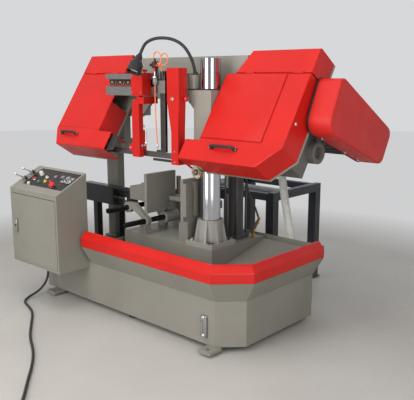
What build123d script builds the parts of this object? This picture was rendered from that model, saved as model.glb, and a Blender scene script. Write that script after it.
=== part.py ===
"""A two-column horizontal band saw for metal, built up from its separate pieces.

X runs to the right along the blade, Y to the back, Z up, in millimetres. The origin is on the floor
in the middle of the anchor bolts.
"""
from build123d import *
import math
import os

os.makedirs("parts", exist_ok=True)

# Clearances
RUNNING = 0.05      # radial room of a shaft in its bearing, or a pin in its hole
SLIDING = 0.4       # room between a sliding piece and its way
LID_GAP = 2.0       # room round doors and lids

# Base, tray and rim
BASE_LENGTH = 1637
BASE_DEPTH = 731
BASE_LIFT = 30
CORNER_CUT = 116
BODY_TOP = 281
FLARE_TOP = 399
OVERHANG = 74
TRAY_LEFT = -334
TRAY_BACK_TOP = 470
SHEET = 4
SLIDE_YZ = [(-352, 284), (338, 446)]
SLIDE_GAP = 2
RIM_HEIGHT = 92
RIM_FACE = 54
RIM_SLOPE = 30
RIM_WIDTH = 46
ANCHOR_X = 690
ANCHOR_STANDOFF = 39.5
ANCHOR_HOLE = 11
LUG_WIDTH = 84
LUG_THICK = 18
LUG_MARGIN = 34
LUG_LAP = 20
SPIGOT_HALF = 28
SPIGOT_DEPTH = 40
FOOT_RADIUS = 36
FOOT_HEIGHT = 20
FOOT_STUD = 11
FOOT_INSET = 62

# Bed box
BED_X = (-270, 478)
BED_Y = (-142, 330)
BED_TOP = 463
BED_WALL = 20

# Main column, its foot and its bolts
COLUMN_RADIUS = 57.5
COLUMN_EDGES = (423.5, 28.5)
COLUMN_AT = (COLUMN_EDGES[0] - COLUMN_RADIUS, COLUMN_EDGES[1] - COLUMN_RADIUS)
COLUMN_LEFT = COLUMN_AT[0] - COLUMN_RADIUS
COLUMN_FRONT = COLUMN_AT[1] - COLUMN_RADIUS
COLUMN_TOP = 1524
COLUMN_CHAMFER = 3
FOOT_FLANGE = (205, 210)
FLANGE_THICK = 25
SOCKET_TOP = 614
SOCKET_RADIUS = 74
RIB_REACH = 100
RIB_THICK = 14
RIB_COUNT = 8
FLANGE_BOLT_INSET = 22
BOLT_HEX = 17
BOLT_HEAD = 13
WASHER_RADIUS = 20
WASHER_THICK = 4

# Side column
SIDE_X = (-798, -678)
SIDE_Y = (150, 210)
SIDE_TOP = 1036
SIDE_WALL = 8
SIDE_PLATE = 16
SIDE_PLATE_MARGIN = 20

# Lift cylinder
LIFT_AT = (371, 192)
LIFT_RADIUS = 46
LIFT_BORE = 40
LIFT_TOP = 905
LIFT_CAP = 20
LIFT_FLANGE = 116
LIFT_ROD = 22
PISTON_Z = (800, 830)
LIFT_LUG_Z = (1200, 1240)
LIFT_HOSE = 6
LIFT_FITTING = 11
LIFT_HOSE_ROUTE = [(448, 196, 838), (449, 198, 792), (460, 208, 738), (480, 224, 682), (497, 237, 632),
                   (506, 246, 588)]
LIFT_ELBOW = (470, 252, 520)
LIFT_UNION = (455, 254)

# Blade and the tilted wheel frame
TILT = 33
BLADE_Y = -170
BLADE_Z = 976
BLADE_WIDTH = 34
BLADE_THICK = 1.1
BLADE_LENGTH = 4115
WHEEL_RADIUS = 200
WHEEL_MIDDLE = 58.5
BLADE_GAP = 0.3
GUIDE_SPAN = (-240, 286)
TWIST_STEPS = 6

# Wheels, axle and tension slide
WHEEL_N = (-16, 14)
WHEEL_RIM = 26
WHEEL_WEB_N = (-8, 6)
HUB_RADIUS = 52
HUB_N = (-38, 24)
WEB_HOLE = 34
WEB_HOLE_AT = 112
WEB_HOLES = 5
AXLE_RADIUS = 25
SHAFT_INSET = 30
SLIDE_HALF_X = 70
SLIDE_HALF_S = 55
SLIDE_N = (-64.6, -42)
SLIDE_RAIL = 22
TENSION_TRAVEL = 10

# Guards
GUARD_N = (-65, 85)
BACK_PLATE = 15
HINGE_S = 500
HINGE_PIN = 3
HINGE_KNUCKLE = 6
HINGE_LENGTH = 60
HINGE_EYE = 15
IDLER_HINGES_X = (-780, -560)
DRIVE_HINGES_X = (570, 880)
DOOR_FOLD = 50
HOOD_TOP = 645
GUARD_BOTTOM = -42
BAND_TOP = 80
PANEL_SHEET = 4
EDGE_ROUND = 7
IDLER_X = (-880, -440)
IDLER_BAND = -310
IDLER_CUT = (68, 112)
DRIVE_X = (433, 985)
DRIVE_BAND = 332
BAND_BACK = -45
DRIVE_CUT = (120, 117)
HOOD_SLANT = 58
DRIVE_HOOD_LEFT = 496
DRIVE_HOOD_RIGHT = 990
SKIRT_TOP = 292
GROOVE_X = 850
GROOVE_WIDTH = 9
GROOVE_DEPTH = 2
DOOR_HANDLE_S = 40
IDLER_HANDLE_X = (-802, -622)
DRIVE_HANDLE_X = (532, 719)
GRIP_REACH = 34
GRIP_RADIUS = 9

# Bow frame
PLATE_Y = (90, 115)
PLATE_X = (-434, 431)
PLATE_TOP = 1537
PLATE_RIGHT = 536
PLATE_SHOULDER_Z = (1406, 1412)
THROAT_TOP = 1285
THROAT_LEFT = -232
THROAT_RIGHT = 68
LEFT_LEG = 1165
RIGHT_LEG = 1140
WEDGE_BACK = 250
WEDGE_FOOT = 1165
WEDGE_LEFT = -660
WEDGE_RIGHT = 640
SLEEVE_WALL = (7.5, 10.5)
SLEEVE_X = (COLUMN_LEFT - SLEEVE_WALL[0], 430)
SLEEVE_Y = (COLUMN_FRONT - SLEEVE_WALL[1], 90)
SLEEVE_Z = (1045, 1275)
CLAMP_X = (262, 430)
CLAMP_TOP = 1348
SHOE_Z = (900, 1000)
SHOE_LIP = 24
SHOE_REACH = 42
SHOE_RIGHT = -600
RETURN_ROOM = (7, 23)

# Guide rail, arms and approach bar
RAIL_X = (-425, 260)
RAIL_Y = (-136, -92)
RAIL_TOP_Z = (1407, 1439)
RAIL_LOW_Z = (1309, 1363)
RAIL_SPINE = 14
BRACKET_WIDTH = 50
BRACKETS_X = (-330, 190)
ARM_Y = (-204, -136.4)
SLIDER_X = (-106, -8)
SLIDER_Z = (1313, 1443)
SLIDER_ARM_X = (-104, -41)
SLIDER_PLATE = 32
SLIDER_NECK = (-88, 1290, 1255)
ARM_BOTTOM = 953
GUIDE_X = (-134, -41)
GUIDE_Z = (985, 1028)
CHEEK_LEFT = -90
CHEEK_Z = (960, 1111)
LIP_X = (-60, 2)
LIP_Z = (1266, 1306)
ARM_JAW_GAP = 3
FIXED_ARM_TOP = 1469
FIXED_ARM_X = (195, 288)
FIXED_ARM_FOOT_X = (226, 281)
FIXED_ARM_TAPER_Z = (1116, 1290)
FIXED_ARM_BOTTOM = 934
BLADE_SLOT = 1.2
BAR_X = (138, 177)
BAR_Y = (-202, -182)
BAR_TOP = 1453
BAR_FOOT_LEFT = 102
BAR_FOOT_Z = (998, 1008)
HOLDER_Z = (1330, 1400)
HOLDER_WALL = 8

# Work lamp and coolant line
LAMP_BLOCK_ROOM = 8.5
LAMP_BLOCK_WIDTH = 60
LAMP_FOOT_INSET = 17
LAMP_BLOCK_X = (COLUMN_LEFT - LAMP_BLOCK_ROOM - LAMP_BLOCK_WIDTH, COLUMN_LEFT - LAMP_BLOCK_ROOM)
LAMP_FOOT_X = LAMP_BLOCK_X[1] - LAMP_FOOT_INSET
LAMP_BLOCK_Y = (-90, -40)
LAMP_BLOCK_Z = (1354, 1431)
LAMP_NECK = 9
LAMP_ROUTE = [(LAMP_FOOT_X, -65, 1431), (LAMP_FOOT_X, -72, 1470), (276, -92, 1528), (250, -119, 1588),
              (200, -142, 1622), (138, -163, 1635), (72, -183, 1632), (18, -196, 1610), (-8, -201, 1572),
              (-8, -219, 1538)]
LAMP_HEAD_LENGTH = 104
LAMP_HEAD_RADII = (17, 24, 40, 43)
LAMP_HEAD_SHARES = (0, 0.28, 0.5, 1)
COOLANT_X = 121
COOLANT_VALVE_Z = (1466, 1506)
COOLANT_SIGHT_Z = (1376, 1416)
COOLANT_TUBE = 4
COOLANT_STANDOFF = 13
COOLANT_END = (134, 1020)

# Drive: gearbox, pulleys, belts, motor and cover
GEARBOX_X = (650, 930)
GEARBOX_S = (60, 362)
GEARBOX_N = -235
GEAR_BOSS_YZ = (144, 1030)
GEAR_BOSS = 60
GEAR_EYE = 30
GEAR_EYE_DEPTH = 26
GEAR_BOSS_X = 966
WORM_YZ = (152, 1235)
WORM_HOUSING = 47
WORM_LEFT = 660
MOTOR_YZ = (505, 1075)
MOTOR_RADIUS = 92
MOTOR_X = (640, 992)
MOTOR_FINS = 24
MOTOR_COWL = 90
MOTOR_FLANGE = 30
MOTOR_SHAFT_X = 900
WORM_SHAFT_X = 820
FIN_DEPTH = 9
FIN_THICK = 5
CARRIER_X = (992, 1003)
COVER_X = (1003, 1132)
COVER_CORNERS = [(90, 1430), (644, 1124), (540, 938), (-38, 1160)]
COVER_ROUNDS = (42, 48, 48, 78)
COVER_SHEET = 4
COVER_EDGE = 12
CARRIER_INSET = 10
WORM_PULLEY = 118
MOTOR_PULLEY = 59
PULLEY_X = (1030, 1080)
SHAFT_RADIUS = 19
BELT_X = [1034, 1058]
BELT_WIDTH = 18
BELT_THICK = 9

# Brush and drain hose
BRUSH_AT = (393, 905)
BRUSH_Y = (-182, -160)
BRUSH_RADIUS = 36
BRUSH_HUB = 17
BRUSH_AXLE = 6
BRUSH_ROWS = 5
BRUSH_ARM_WIDTH = 9.5
BRUSH_ARM_Y = (SLEEVE_Y[0], SLEEVE_Y[0] + BRUSH_ARM_WIDTH)
BRUSH_ARM_Z = (896, 914)
BRUSH_STRIP_Y = (-84, -70)
BRUSH_NOTCH = 40
BRUSH_NOTCH_N = 6
BRUSH_STRANDS = 72
STRAND_SIDE = 1.0
HOSE_STANDOFF = 32.5
HOSE_TOP = (554, BASE_DEPTH / 2 + HOSE_STANDOFF, 892)
HOSE_FOOT = (700, BASE_DEPTH / 2 + HOSE_STANDOFF, 236)
HOSE_RADIUS = 25
HOSE_WALL = 3
HOSE_RIB = 2.8
HOSE_RIBS = 60
RIB_PROFILE = ((0, 0), (0.2, 1), (0.6, 1), (0.8, 0))
DRAIN_PIPE = 19
DRAIN_PIPE_START = -95
DRAIN_HANGER_Y = (190, 230)
HOSE_SWING = 1.3
BORE_STEPS = 16
HOSE_PIPE_Z = 935

# Vise, feed rods and feed carriage
TABLE_TOP = 686
TABLE_X = (-300, 230)
TABLE_Y = (40, 125)
TABLE_THICK = 25
SLOT_Y = (57, 87)
SLOT_RIGHT = 200
TABLE_LEGS_X = [(-215, -150), (170, 225)]
TABLE_LEG_Y = (97, 125)
JAW_Y = (-145, 103)
JAW_TOP = 843
JAW_FACE_LEFT = -52
JAW_FACE_RIGHT = 235
JAW_THICK = 23
JAW_FOOT = 600
SLAB_LEFT = -300
SLAB_NEAR = -66
SLAB_GAP = 5
SLAB_Z = (650, 735)
KEY_RIGHT = -100
VISE_LUG_X = (-330, -300)
VISE_LUG_FOOT = 628
VISE_AXIS = (72, 648)
VISE_RADIUS = 35
VISE_BORE = 28
VISE_X = (-836, -420)
VISE_CAP = 18
VISE_ROD = 13
VISE_PISTON_X = (-752, -724)
FIXED_BASE_X = (170, 245)
FIXED_BASE_Y = (-95, 103)
FIXED_RIB_X = 280
FIXED_RIBS = 4
LOWER_ROD = (-100, 542)
UPPER_ROD = (-259, 608)
ROD_RADIUS = 16.5
ROD_Y = (-285, 330)
YOKE_Y = (-125, -95)
YOKE_BOSS = (34, 33)
YOKE_SHOULDER = 62
YOKE_NECK = 54
YOKE_SOLE = 30
END_BRACKET_Y = (305, 330)
SLEEVE_BARREL = 37.5
CARRIAGE_Y = (130, 152)
CARRIAGE_RING_Y = (40, 152)
BEAM_X = (-290, 300)
BEAM_Z = (640, 686)
FEED_JAW_TOP = 800

# Side channel
CHANNEL_X = (-830, -505)
CHANNEL_Y = (-40, 20)
CHANNEL_Z = (575, 699)
CHANNEL_WALL = 8
CHANNEL_SHELF_Y = 115
CHANNEL_SHELF_X = -425
CHANNEL_CAP_X = -410
CHANNEL_POST = 44
CHANNEL_POSTS_X = [-800, -560]

# Rear roller table
FRAME_X = (-250, 391)
FRAME_Y = (545, 1104)
FRAME_RAIL = 55
FRAME_WALL = 8
FRAME_FLANGE = 42
LEG_SIDE = 60
LEG_FOOT = 10
ROLLER_RADIUS = 30
ROLLER_Y = 700
ROLLER_PIN = 10
ROLLER_RISE = 4
TIE_X = [(-285, -245), (-120, -80)]
TIE_Z = (590, 640)

# Electrical cabinet, console and controls
CABINET_X = (-862, -355)
CABINET_Y = (-588, -BASE_DEPTH / 2)
CABINET_Z = (249, 728)
CABINET_BACK_TOP = 843
CABINET_SHEET = 3
CABINET_BRACKETS_X = [-800, -460]
CABINET_BRACKET_TOP = 460
DOOR_X = (-842, -374)
DOOR_Z = (266, 695)
DOOR_THICK = 18
DOOR_PROUD = 2
DOOR_HINGES_Z = (310, 600)
DOOR_KNUCKLE = 5
PANEL_X = (-792, -370)
PANEL_V = (55, 230)
PANEL_LAP = 8
PANEL_THICK = 3
LATCH_AT = (-796, 489)
LATCH_WIDTH = 24
LATCH_HEIGHT = 92
LATCH_REACH = 14
BUTTON_RADIUS = 10
BUTTON_STEM = 5
BUTTON_RISE = 10
BUTTON_GAP = 4
START_AT = (-735, 66)
STOP_AT = (-735, 116)
ESTOP_AT = (-498, 84)
ESTOP_RADIUS = 20
ESTOP_STEM = 9
ESTOP_GAP = 8
ESTOP_HEAD = 15
KNOB_AT = (-716, 168)
KNOB_RADIUS = 15
KNOB_RISE = 28
LEVERS_AT = [(-800, 92), (-800, 158)]
LEVER_ROD = 5
LEVER_LENGTH = 106
LEVER_LEAN = 80
LEVER_BALL = 10
LEVER_HUB = 12
LEVER_POST = 16
LEVER_PIN = 4
LEVER_HUB_WIDTH = 14
LEVER_CHEEK = 5

# Power cord, its gland, coil and plug
CORD_RADIUS = 7.5
BEND_SHARE = 0.45
GLAND_AT = (-724, -425)
GLAND_LENGTH = 42
GLAND_RADII = (17, 10)
GLAND_SHOULDER = 13.6
CORD_FLOOR = 8.0
CORD_ROUTE = [(-724, -425, 207), (-724, -425, 141), (-728, -450, 77), (-735, -506, 32), (-742, -574, 12),
              (-700, -633, CORD_FLOOR), (-616, -657, CORD_FLOOR), (-497, -696, CORD_FLOOR),
              (-340, -806, CORD_FLOOR), (-180, -917, CORD_FLOOR), (-10, -1000, CORD_FLOOR),
              (132, -1097, CORD_FLOOR), (272, -1212, CORD_FLOOR), (407, -1318, CORD_FLOOR),
              (523, -1425, CORD_FLOOR), (590, -1540, CORD_FLOOR)]
COIL_PITCH = 15.8
COIL_TURNS = 2
COIL_RADIUS = 98
COIL_NUDGE = 0.02
COIL_SAMPLES = 900
PLUG_LENGTH = 92
PLUG_NECK = 0.2
PLUG_PINS = 4
PLUG_PIN = 4
PLUG_PIN_LENGTH = 24

# Derived places that several pieces share
ANCHOR_Y = BASE_DEPTH / 2 + ANCHOR_STANDOFF
WHEEL_GAP = (BLADE_LENGTH - 2 * math.pi * WHEEL_RADIUS) / 2
IDLER_AT = (WHEEL_MIDDLE - WHEEL_GAP / 2, WHEEL_RADIUS)
DRIVE_AT = (WHEEL_MIDDLE + WHEEL_GAP / 2, WHEEL_RADIUS)
TILT_SIN = math.sin(math.radians(TILT))
TILT_COS = math.cos(math.radians(TILT))
WHEEL_PLANE = Plane(origin=(0, BLADE_Y, BLADE_Z), x_dir=(1, 0, 0), z_dir=(0, -TILT_COS, TILT_SIN))
WHEEL_AXIS = Axis((0, BLADE_Y, BLADE_Z), (0, -TILT_COS, TILT_SIN))
RIM_TOP = FLARE_TOP + RIM_HEIGHT
BACK_N = GUARD_N[0] - BACK_PLATE
CONSOLE_RISE = CABINET_BACK_TOP - CABINET_Z[1]
CONSOLE_RUN = CABINET_Y[1] - CABINET_Y[0]
CONSOLE_ANGLE = math.atan2(CONSOLE_RISE, CONSOLE_RUN)
CONSOLE_PLANE = Plane(origin=(0, CABINET_Y[0], CABINET_Z[1]), x_dir=(1, 0, 0),
                      z_dir=(0, -math.sin(CONSOLE_ANGLE), math.cos(CONSOLE_ANGLE)))
CONSOLE_AXIS = Axis((0, CABINET_Y[0], CABINET_Z[1]),
                    (0, -math.sin(CONSOLE_ANGLE), math.cos(CONSOLE_ANGLE)))


def block(x, y, z, mode=Mode.ADD):
    """Add or cut a box that spans three (low, high) pairs."""
    middle = tuple((low + high) / 2 for low, high in (x, y, z))
    with Locations(middle):
        Box(x[1] - x[0], y[1] - y[0], z[1] - z[0], mode=mode)


def bar(axis, span, at, radius, mode=Mode.ADD):
    """Add or cut a round bar along an axis; at holds its other two coordinates in x, y, z order."""
    middle = (span[0] + span[1]) / 2
    place = {"x": (middle, *at), "y": (at[0], middle, at[1]), "z": (*at, middle)}[axis]
    turn = {"x": (0, 90, 0), "y": (90, 0, 0), "z": (0, 0, 0)}[axis]
    with Locations(place):
        Cylinder(radius, span[1] - span[0], rotation=turn, mode=mode)


def plane_at(axis, low, high):
    """The plane that a prism along an axis starts from."""
    return {"x": Plane.YZ.offset(low), "y": Plane.XZ.offset(-high), "z": Plane.XY.offset(low),
            "wheel": WHEEL_PLANE.offset(low), "console": CONSOLE_PLANE.offset(low)}[axis]


def prism(axis, corners, span, mode=Mode.ADD):
    """Add or cut a straight prism along an axis, from the corners of its outline."""
    with BuildSketch(plane_at(axis, *span)) as outline:
        with BuildLine():
            Polyline(*corners, close=True)
        make_face()
    extrude(outline.sketch, amount=span[1] - span[0], mode=mode)


def disc(axis, centre, radius, span, mode=Mode.ADD):
    """Add or cut a round boss along an axis, from its centre in the outline's plane."""
    with BuildSketch(plane_at(axis, *span)) as outline:
        with Locations(centre):
            Circle(radius)
    extrude(outline.sketch, amount=span[1] - span[0], mode=mode)


def oblong(x, y):
    """The corners of a rectangle between two (low, high) pairs."""
    return [(x[0], y[0]), (x[1], y[0]), (x[1], y[1]), (x[0], y[1])]


def base_outline(out, left, back):
    """The base's outline, drawn out at the front, the cut corner and the right side."""
    front = -BASE_DEPTH / 2 - out
    right = BASE_LENGTH / 2 + out
    cut = CORNER_CUT + out * (2 - math.sqrt(2))
    return [(left, front), (right - cut, front), (right, front + cut), (right, back), (left, back)]


def wheel_to_world(x, s, n):
    """The machine coordinates of a point of the tilted wheel frame."""
    return (x, BLADE_Y + s * TILT_SIN - n * TILT_COS, BLADE_Z + s * TILT_COS + n * TILT_SIN)


# Chip slide: sloping sheet in the tray between the bed and its right wall
BODY_LEFT = -BASE_LENGTH / 2
BODY_BACK = BASE_DEPTH / 2
with BuildPart() as chip_slide:
    for out, height in ((-SHEET / 2, BODY_TOP), (OVERHANG - SHEET / 2, FLARE_TOP)):
        with BuildSketch(Plane.XY.offset(height)):
            with BuildLine():
                Polyline(*base_outline(out, TRAY_LEFT, BODY_BACK - SHEET / 2), close=True)
            make_face()
    loft(ruled=True)
    prism("z", base_outline(OVERHANG - RIM_WIDTH - SLIDE_GAP, TRAY_LEFT, BODY_BACK - SHEET / 2),
          (FLARE_TOP, TRAY_BACK_TOP))
    prism("x", [*SLIDE_YZ, *((y, z - SHEET) for y, z in reversed(SLIDE_YZ))],
          (BED_X[1] + SLIDE_GAP, BASE_LENGTH / 2 + OVERHANG), Mode.INTERSECT)

# Base shell: lower body, flared tray walls, chip slide, anchor lugs and the drain hose's seat
LUG_Z = (BASE_LIFT - LUG_THICK, BASE_LIFT)
with BuildPart() as base_shell:
    prism("z", base_outline(0, BODY_LEFT, BODY_BACK), (BASE_LIFT, BODY_TOP))
    prism("z", base_outline(-SHEET, BODY_LEFT + SHEET, BODY_BACK - SHEET),
          (BASE_LIFT + SHEET, BODY_TOP - SHEET), Mode.SUBTRACT)
    for inset, mode in ((0, Mode.ADD), (SHEET, Mode.SUBTRACT)):
        for out, height in ((-inset, BODY_TOP), (OVERHANG - inset, FLARE_TOP)):
            with BuildSketch(Plane.XY.offset(height)):
                with BuildLine():
                    Polyline(*base_outline(out, TRAY_LEFT + inset, BODY_BACK - inset), close=True)
                make_face()
        loft(ruled=True, mode=mode)
    block((TRAY_LEFT, BASE_LENGTH / 2 + OVERHANG), (BODY_BACK - SHEET, BODY_BACK),
          (FLARE_TOP, TRAY_BACK_TOP))
    add(chip_slide.part)
    for x in (-ANCHOR_X, ANCHOR_X):
        for side in (-1, 1):
            reach = sorted((side * (ANCHOR_Y + LUG_MARGIN), side * (BODY_BACK - LUG_LAP)))
            block((x - LUG_WIDTH / 2, x + LUG_WIDTH / 2), reach, LUG_Z)
            bar("z", LUG_Z, (x, side * ANCHOR_Y), ANCHOR_HOLE, Mode.SUBTRACT)
    block((HOSE_FOOT[0] - SPIGOT_HALF, HOSE_FOOT[0] + SPIGOT_HALF), (BODY_BACK, HOSE_FOOT[1] + SPIGOT_HALF),
          (HOSE_FOOT[2] - SPIGOT_DEPTH, HOSE_FOOT[2] - SLIDING))
base_shell.part.label = "base_shell"
export_step(base_shell.part, "parts/base_shell.step")

# Tray rim: a folded band with a sloping upper face along the front, the cut corner and the right
with BuildPart() as tray_rim:
    for slope, height in ((0, FLARE_TOP), (0, FLARE_TOP + RIM_FACE), (RIM_SLOPE, RIM_TOP)):
        with BuildSketch(Plane.XY.offset(height)):
            with BuildLine():
                Polyline(*base_outline(OVERHANG - slope, TRAY_LEFT, BODY_BACK - SHEET), close=True)
            make_face()
    loft(ruled=True)
    prism("z", base_outline(OVERHANG - RIM_WIDTH, TRAY_LEFT - SHEET, BODY_BACK + SHEET),
          (FLARE_TOP - SHEET, RIM_TOP + SHEET), Mode.SUBTRACT)
tray_rim.part.label = "tray_rim"
export_step(tray_rim.part, "parts/tray_rim.step")

# Bed: a thick-walled box with the rear bracket that holds the feed rods
BRACKET_TOP = UPPER_ROD[1] + 2 * ROD_RADIUS
with BuildPart() as bed:
    block(BED_X, BED_Y, (BODY_TOP, BED_TOP))
    block((BED_X[0] + BED_WALL, BED_X[1] - BED_WALL), (BED_Y[0] + BED_WALL, BED_Y[1] - BED_WALL),
          (BODY_TOP, BED_TOP - BED_WALL), Mode.SUBTRACT)
    block((UPPER_ROD[0] - 2 * ROD_RADIUS, LOWER_ROD[0] + 2 * ROD_RADIUS), END_BRACKET_Y,
          (BED_TOP, BRACKET_TOP))
    for rod in (LOWER_ROD, UPPER_ROD):
        bar("y", END_BRACKET_Y, rod, ROD_RADIUS + RUNNING, Mode.SUBTRACT)
bed.part.label = "bed"
export_step(bed.part, "parts/bed.step")

# Leveling feet: round pads with studs under the base
with BuildPart() as leveling_feet:
    for x in (-BASE_LENGTH / 2 + FOOT_INSET, 0, BASE_LENGTH / 2 - CORNER_CUT - FOOT_INSET):
        for y in (-BODY_BACK + FOOT_INSET, BODY_BACK - FOOT_INSET):
            bar("z", (0, FOOT_HEIGHT), (x, y), FOOT_RADIUS)
            bar("z", (FOOT_HEIGHT, BASE_LIFT), (x, y), FOOT_STUD)
leveling_feet.part.label = "leveling_feet"
export_step(leveling_feet.part, "parts/leveling_feet.step")

# Main column: ground round bar, standing on the bed
with BuildPart() as main_column:
    bar("z", (BED_TOP, COLUMN_TOP), COLUMN_AT, COLUMN_RADIUS)
    chamfer(main_column.edges().group_by(Axis.Z)[-1], COLUMN_CHAMFER)
main_column.part.label = "main_column"
export_step(main_column.part, "parts/main_column.step")

# Column foot: square flange with a socket and tapering ribs
FLANGE_X = (COLUMN_AT[0] - FOOT_FLANGE[0] / 2, COLUMN_AT[0] + FOOT_FLANGE[0] / 2)
FLANGE_Y = (COLUMN_AT[1] - FOOT_FLANGE[1] / 2, COLUMN_AT[1] + FOOT_FLANGE[1] / 2)
FLANGE_TOP = BED_TOP + FLANGE_THICK
with BuildPart() as column_foot:
    block(FLANGE_X, FLANGE_Y, (BED_TOP, FLANGE_TOP))
    bar("z", (FLANGE_TOP, SOCKET_TOP), COLUMN_AT, SOCKET_RADIUS)
    for index in range(RIB_COUNT):
        angle = 2 * math.pi * (index + 0.5) / RIB_COUNT
        outward = (math.cos(angle), math.sin(angle), 0)
        across = (outward[1], -outward[0], 0)
        with BuildSketch(Plane(origin=(*COLUMN_AT, 0), x_dir=outward, z_dir=across)):
            with BuildLine():
                Polyline((0, FLANGE_TOP), (RIB_REACH, FLANGE_TOP), (SOCKET_RADIUS + LID_GAP, SOCKET_TOP),
                         (0, SOCKET_TOP), close=True)
            make_face()
        extrude(amount=RIB_THICK / 2, both=True)
    bar("z", (BED_TOP, SOCKET_TOP), COLUMN_AT, COLUMN_RADIUS + RUNNING, Mode.SUBTRACT)
column_foot.part.label = "column_foot"
export_step(column_foot.part, "parts/column_foot.step")

# Foundation bolts: hexagon heads on washers at the flange corners
with BuildPart() as foundation_bolts:
    for x in (FLANGE_X[0] + FLANGE_BOLT_INSET, FLANGE_X[1] - FLANGE_BOLT_INSET):
        for y in (FLANGE_Y[0] + FLANGE_BOLT_INSET, FLANGE_Y[1] - FLANGE_BOLT_INSET):
            bar("z", (FLANGE_TOP, FLANGE_TOP + WASHER_THICK), (x, y), WASHER_RADIUS)
            with BuildSketch(Plane.XY.offset(FLANGE_TOP + WASHER_THICK)):
                with Locations((x, y)):
                    RegularPolygon(BOLT_HEX, 6)
            extrude(amount=BOLT_HEAD)
foundation_bolts.part.label = "foundation_bolts"
export_step(foundation_bolts.part, "parts/foundation_bolts.step")

# Side column: a rectangular tube on a foot plate
SIDE_CORE_X = (SIDE_X[0] + SIDE_WALL, SIDE_X[1] - SIDE_WALL)
SIDE_CORE_Y = (SIDE_Y[0] + SIDE_WALL, SIDE_Y[1] - SIDE_WALL)
with BuildPart() as side_column:
    block((SIDE_X[0] - SIDE_PLATE_MARGIN, SIDE_X[1] + SIDE_PLATE_MARGIN),
          (SIDE_Y[0] - SIDE_PLATE_MARGIN, SIDE_Y[1] + SIDE_PLATE_MARGIN),
          (BODY_TOP, BODY_TOP + SIDE_PLATE))
    block(SIDE_X, SIDE_Y, (BODY_TOP + SIDE_PLATE, SIDE_TOP))
    block(SIDE_CORE_X, SIDE_CORE_Y, (BODY_TOP + SIDE_PLATE, SIDE_TOP - SIDE_WALL), Mode.SUBTRACT)
side_column.part.label = "side_column"
export_step(side_column.part, "parts/side_column.step")

# Lift barrel: hydraulic cylinder that raises the bow
with BuildPart() as lift_barrel:
    half = LIFT_FLANGE / 2
    block((LIFT_AT[0] - half, LIFT_AT[0] + half), (LIFT_AT[1] - half, LIFT_AT[1] + half),
          (BED_TOP, FLANGE_TOP))
    bar("z", (FLANGE_TOP, LIFT_TOP), LIFT_AT, LIFT_RADIUS)
    bar("z", (FLANGE_TOP, LIFT_TOP - LIFT_CAP), LIFT_AT, LIFT_BORE, Mode.SUBTRACT)
    bar("z", (LIFT_TOP - LIFT_CAP, LIFT_TOP), LIFT_AT, LIFT_ROD + RUNNING, Mode.SUBTRACT)
lift_barrel.part.label = "lift_barrel"
export_step(lift_barrel.part, "parts/lift_barrel.step")

# Lift rod: chromed rod with its piston, held by the bow
with BuildPart() as lift_rod:
    bar("z", PISTON_Z, LIFT_AT, LIFT_BORE - RUNNING)
    bar("z", (PISTON_Z[1], LIFT_LUG_Z[0]), LIFT_AT, LIFT_ROD)
lift_rod.part.label = "lift_rod"
export_step(lift_rod.part, "parts/lift_rod.step")

# Vise table: slotted plate on two legs
with BuildPart() as vise_table:
    block(TABLE_X, TABLE_Y, (TABLE_TOP - TABLE_THICK, TABLE_TOP))
    block((TABLE_X[0], SLOT_RIGHT), SLOT_Y, (TABLE_TOP - TABLE_THICK, TABLE_TOP), Mode.SUBTRACT)
    for leg_x in TABLE_LEGS_X:
        block(leg_x, TABLE_LEG_Y, (BED_TOP, TABLE_TOP - TABLE_THICK))
    block(TABLE_LEGS_X[1], (TABLE_Y[0], TABLE_LEG_Y[0]),
          (TABLE_TOP - 2 * TABLE_THICK, TABLE_TOP - TABLE_THICK))
vise_table.part.label = "vise_table"
export_step(vise_table.part, "parts/vise_table.step")

# Fixed jaw: ribbed casting on the bed
FIXED_NECK = (JAW_FOOT - SLAB_GAP - JAW_THICK, JAW_FOOT - SLAB_GAP)
with BuildPart() as fixed_jaw:
    block(FIXED_BASE_X, (FIXED_BASE_Y[0], TABLE_Y[0] - SLIDING), (BED_TOP, FIXED_NECK[0]))
    block((JAW_FACE_RIGHT, JAW_FACE_RIGHT + JAW_THICK), JAW_Y, (FIXED_NECK[1], JAW_TOP))
    prism("y", [(FIXED_BASE_X[0], FIXED_NECK[0]), (FIXED_BASE_X[1], FIXED_NECK[0]),
                (JAW_FACE_RIGHT + JAW_THICK, FIXED_NECK[1]), (JAW_FACE_RIGHT, FIXED_NECK[1])],
          (FIXED_BASE_Y[0], TABLE_Y[0] - SLIDING))
    rib_step = (JAW_Y[1] - JAW_Y[0] - JAW_THICK) / (FIXED_RIBS - 1)
    for index in range(FIXED_RIBS):
        start = JAW_Y[0] + index * rib_step
        block((JAW_FACE_RIGHT + JAW_THICK, FIXED_RIB_X), (start, start + JAW_THICK),
              (SOCKET_TOP + JAW_THICK / 2, JAW_TOP - JAW_THICK))
fixed_jaw.part.label = "fixed_jaw"
export_step(fixed_jaw.part, "parts/fixed_jaw.step")

# Vise cylinder: barrel with end caps on the channel's shelf
SHELF_TOP = CHANNEL_Z[0] + CHANNEL_WALL
with BuildPart() as vise_cylinder:
    bar("x", VISE_X, VISE_AXIS, VISE_RADIUS)
    for end in (VISE_X[0], VISE_X[1] - 2 * VISE_CAP):
        block((end, end + 2 * VISE_CAP), (VISE_AXIS[0] - VISE_RADIUS, VISE_AXIS[0] + VISE_RADIUS),
              (SHELF_TOP, VISE_AXIS[1]))
    bar("x", (VISE_X[0] + VISE_CAP, VISE_X[1] - VISE_CAP), VISE_AXIS, VISE_BORE, Mode.SUBTRACT)
    bar("x", (VISE_X[1] - VISE_CAP, VISE_X[1]), VISE_AXIS, VISE_ROD + RUNNING, Mode.SUBTRACT)
vise_cylinder.part.label = "vise_cylinder"
export_step(vise_cylinder.part, "parts/vise_cylinder.step")

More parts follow.
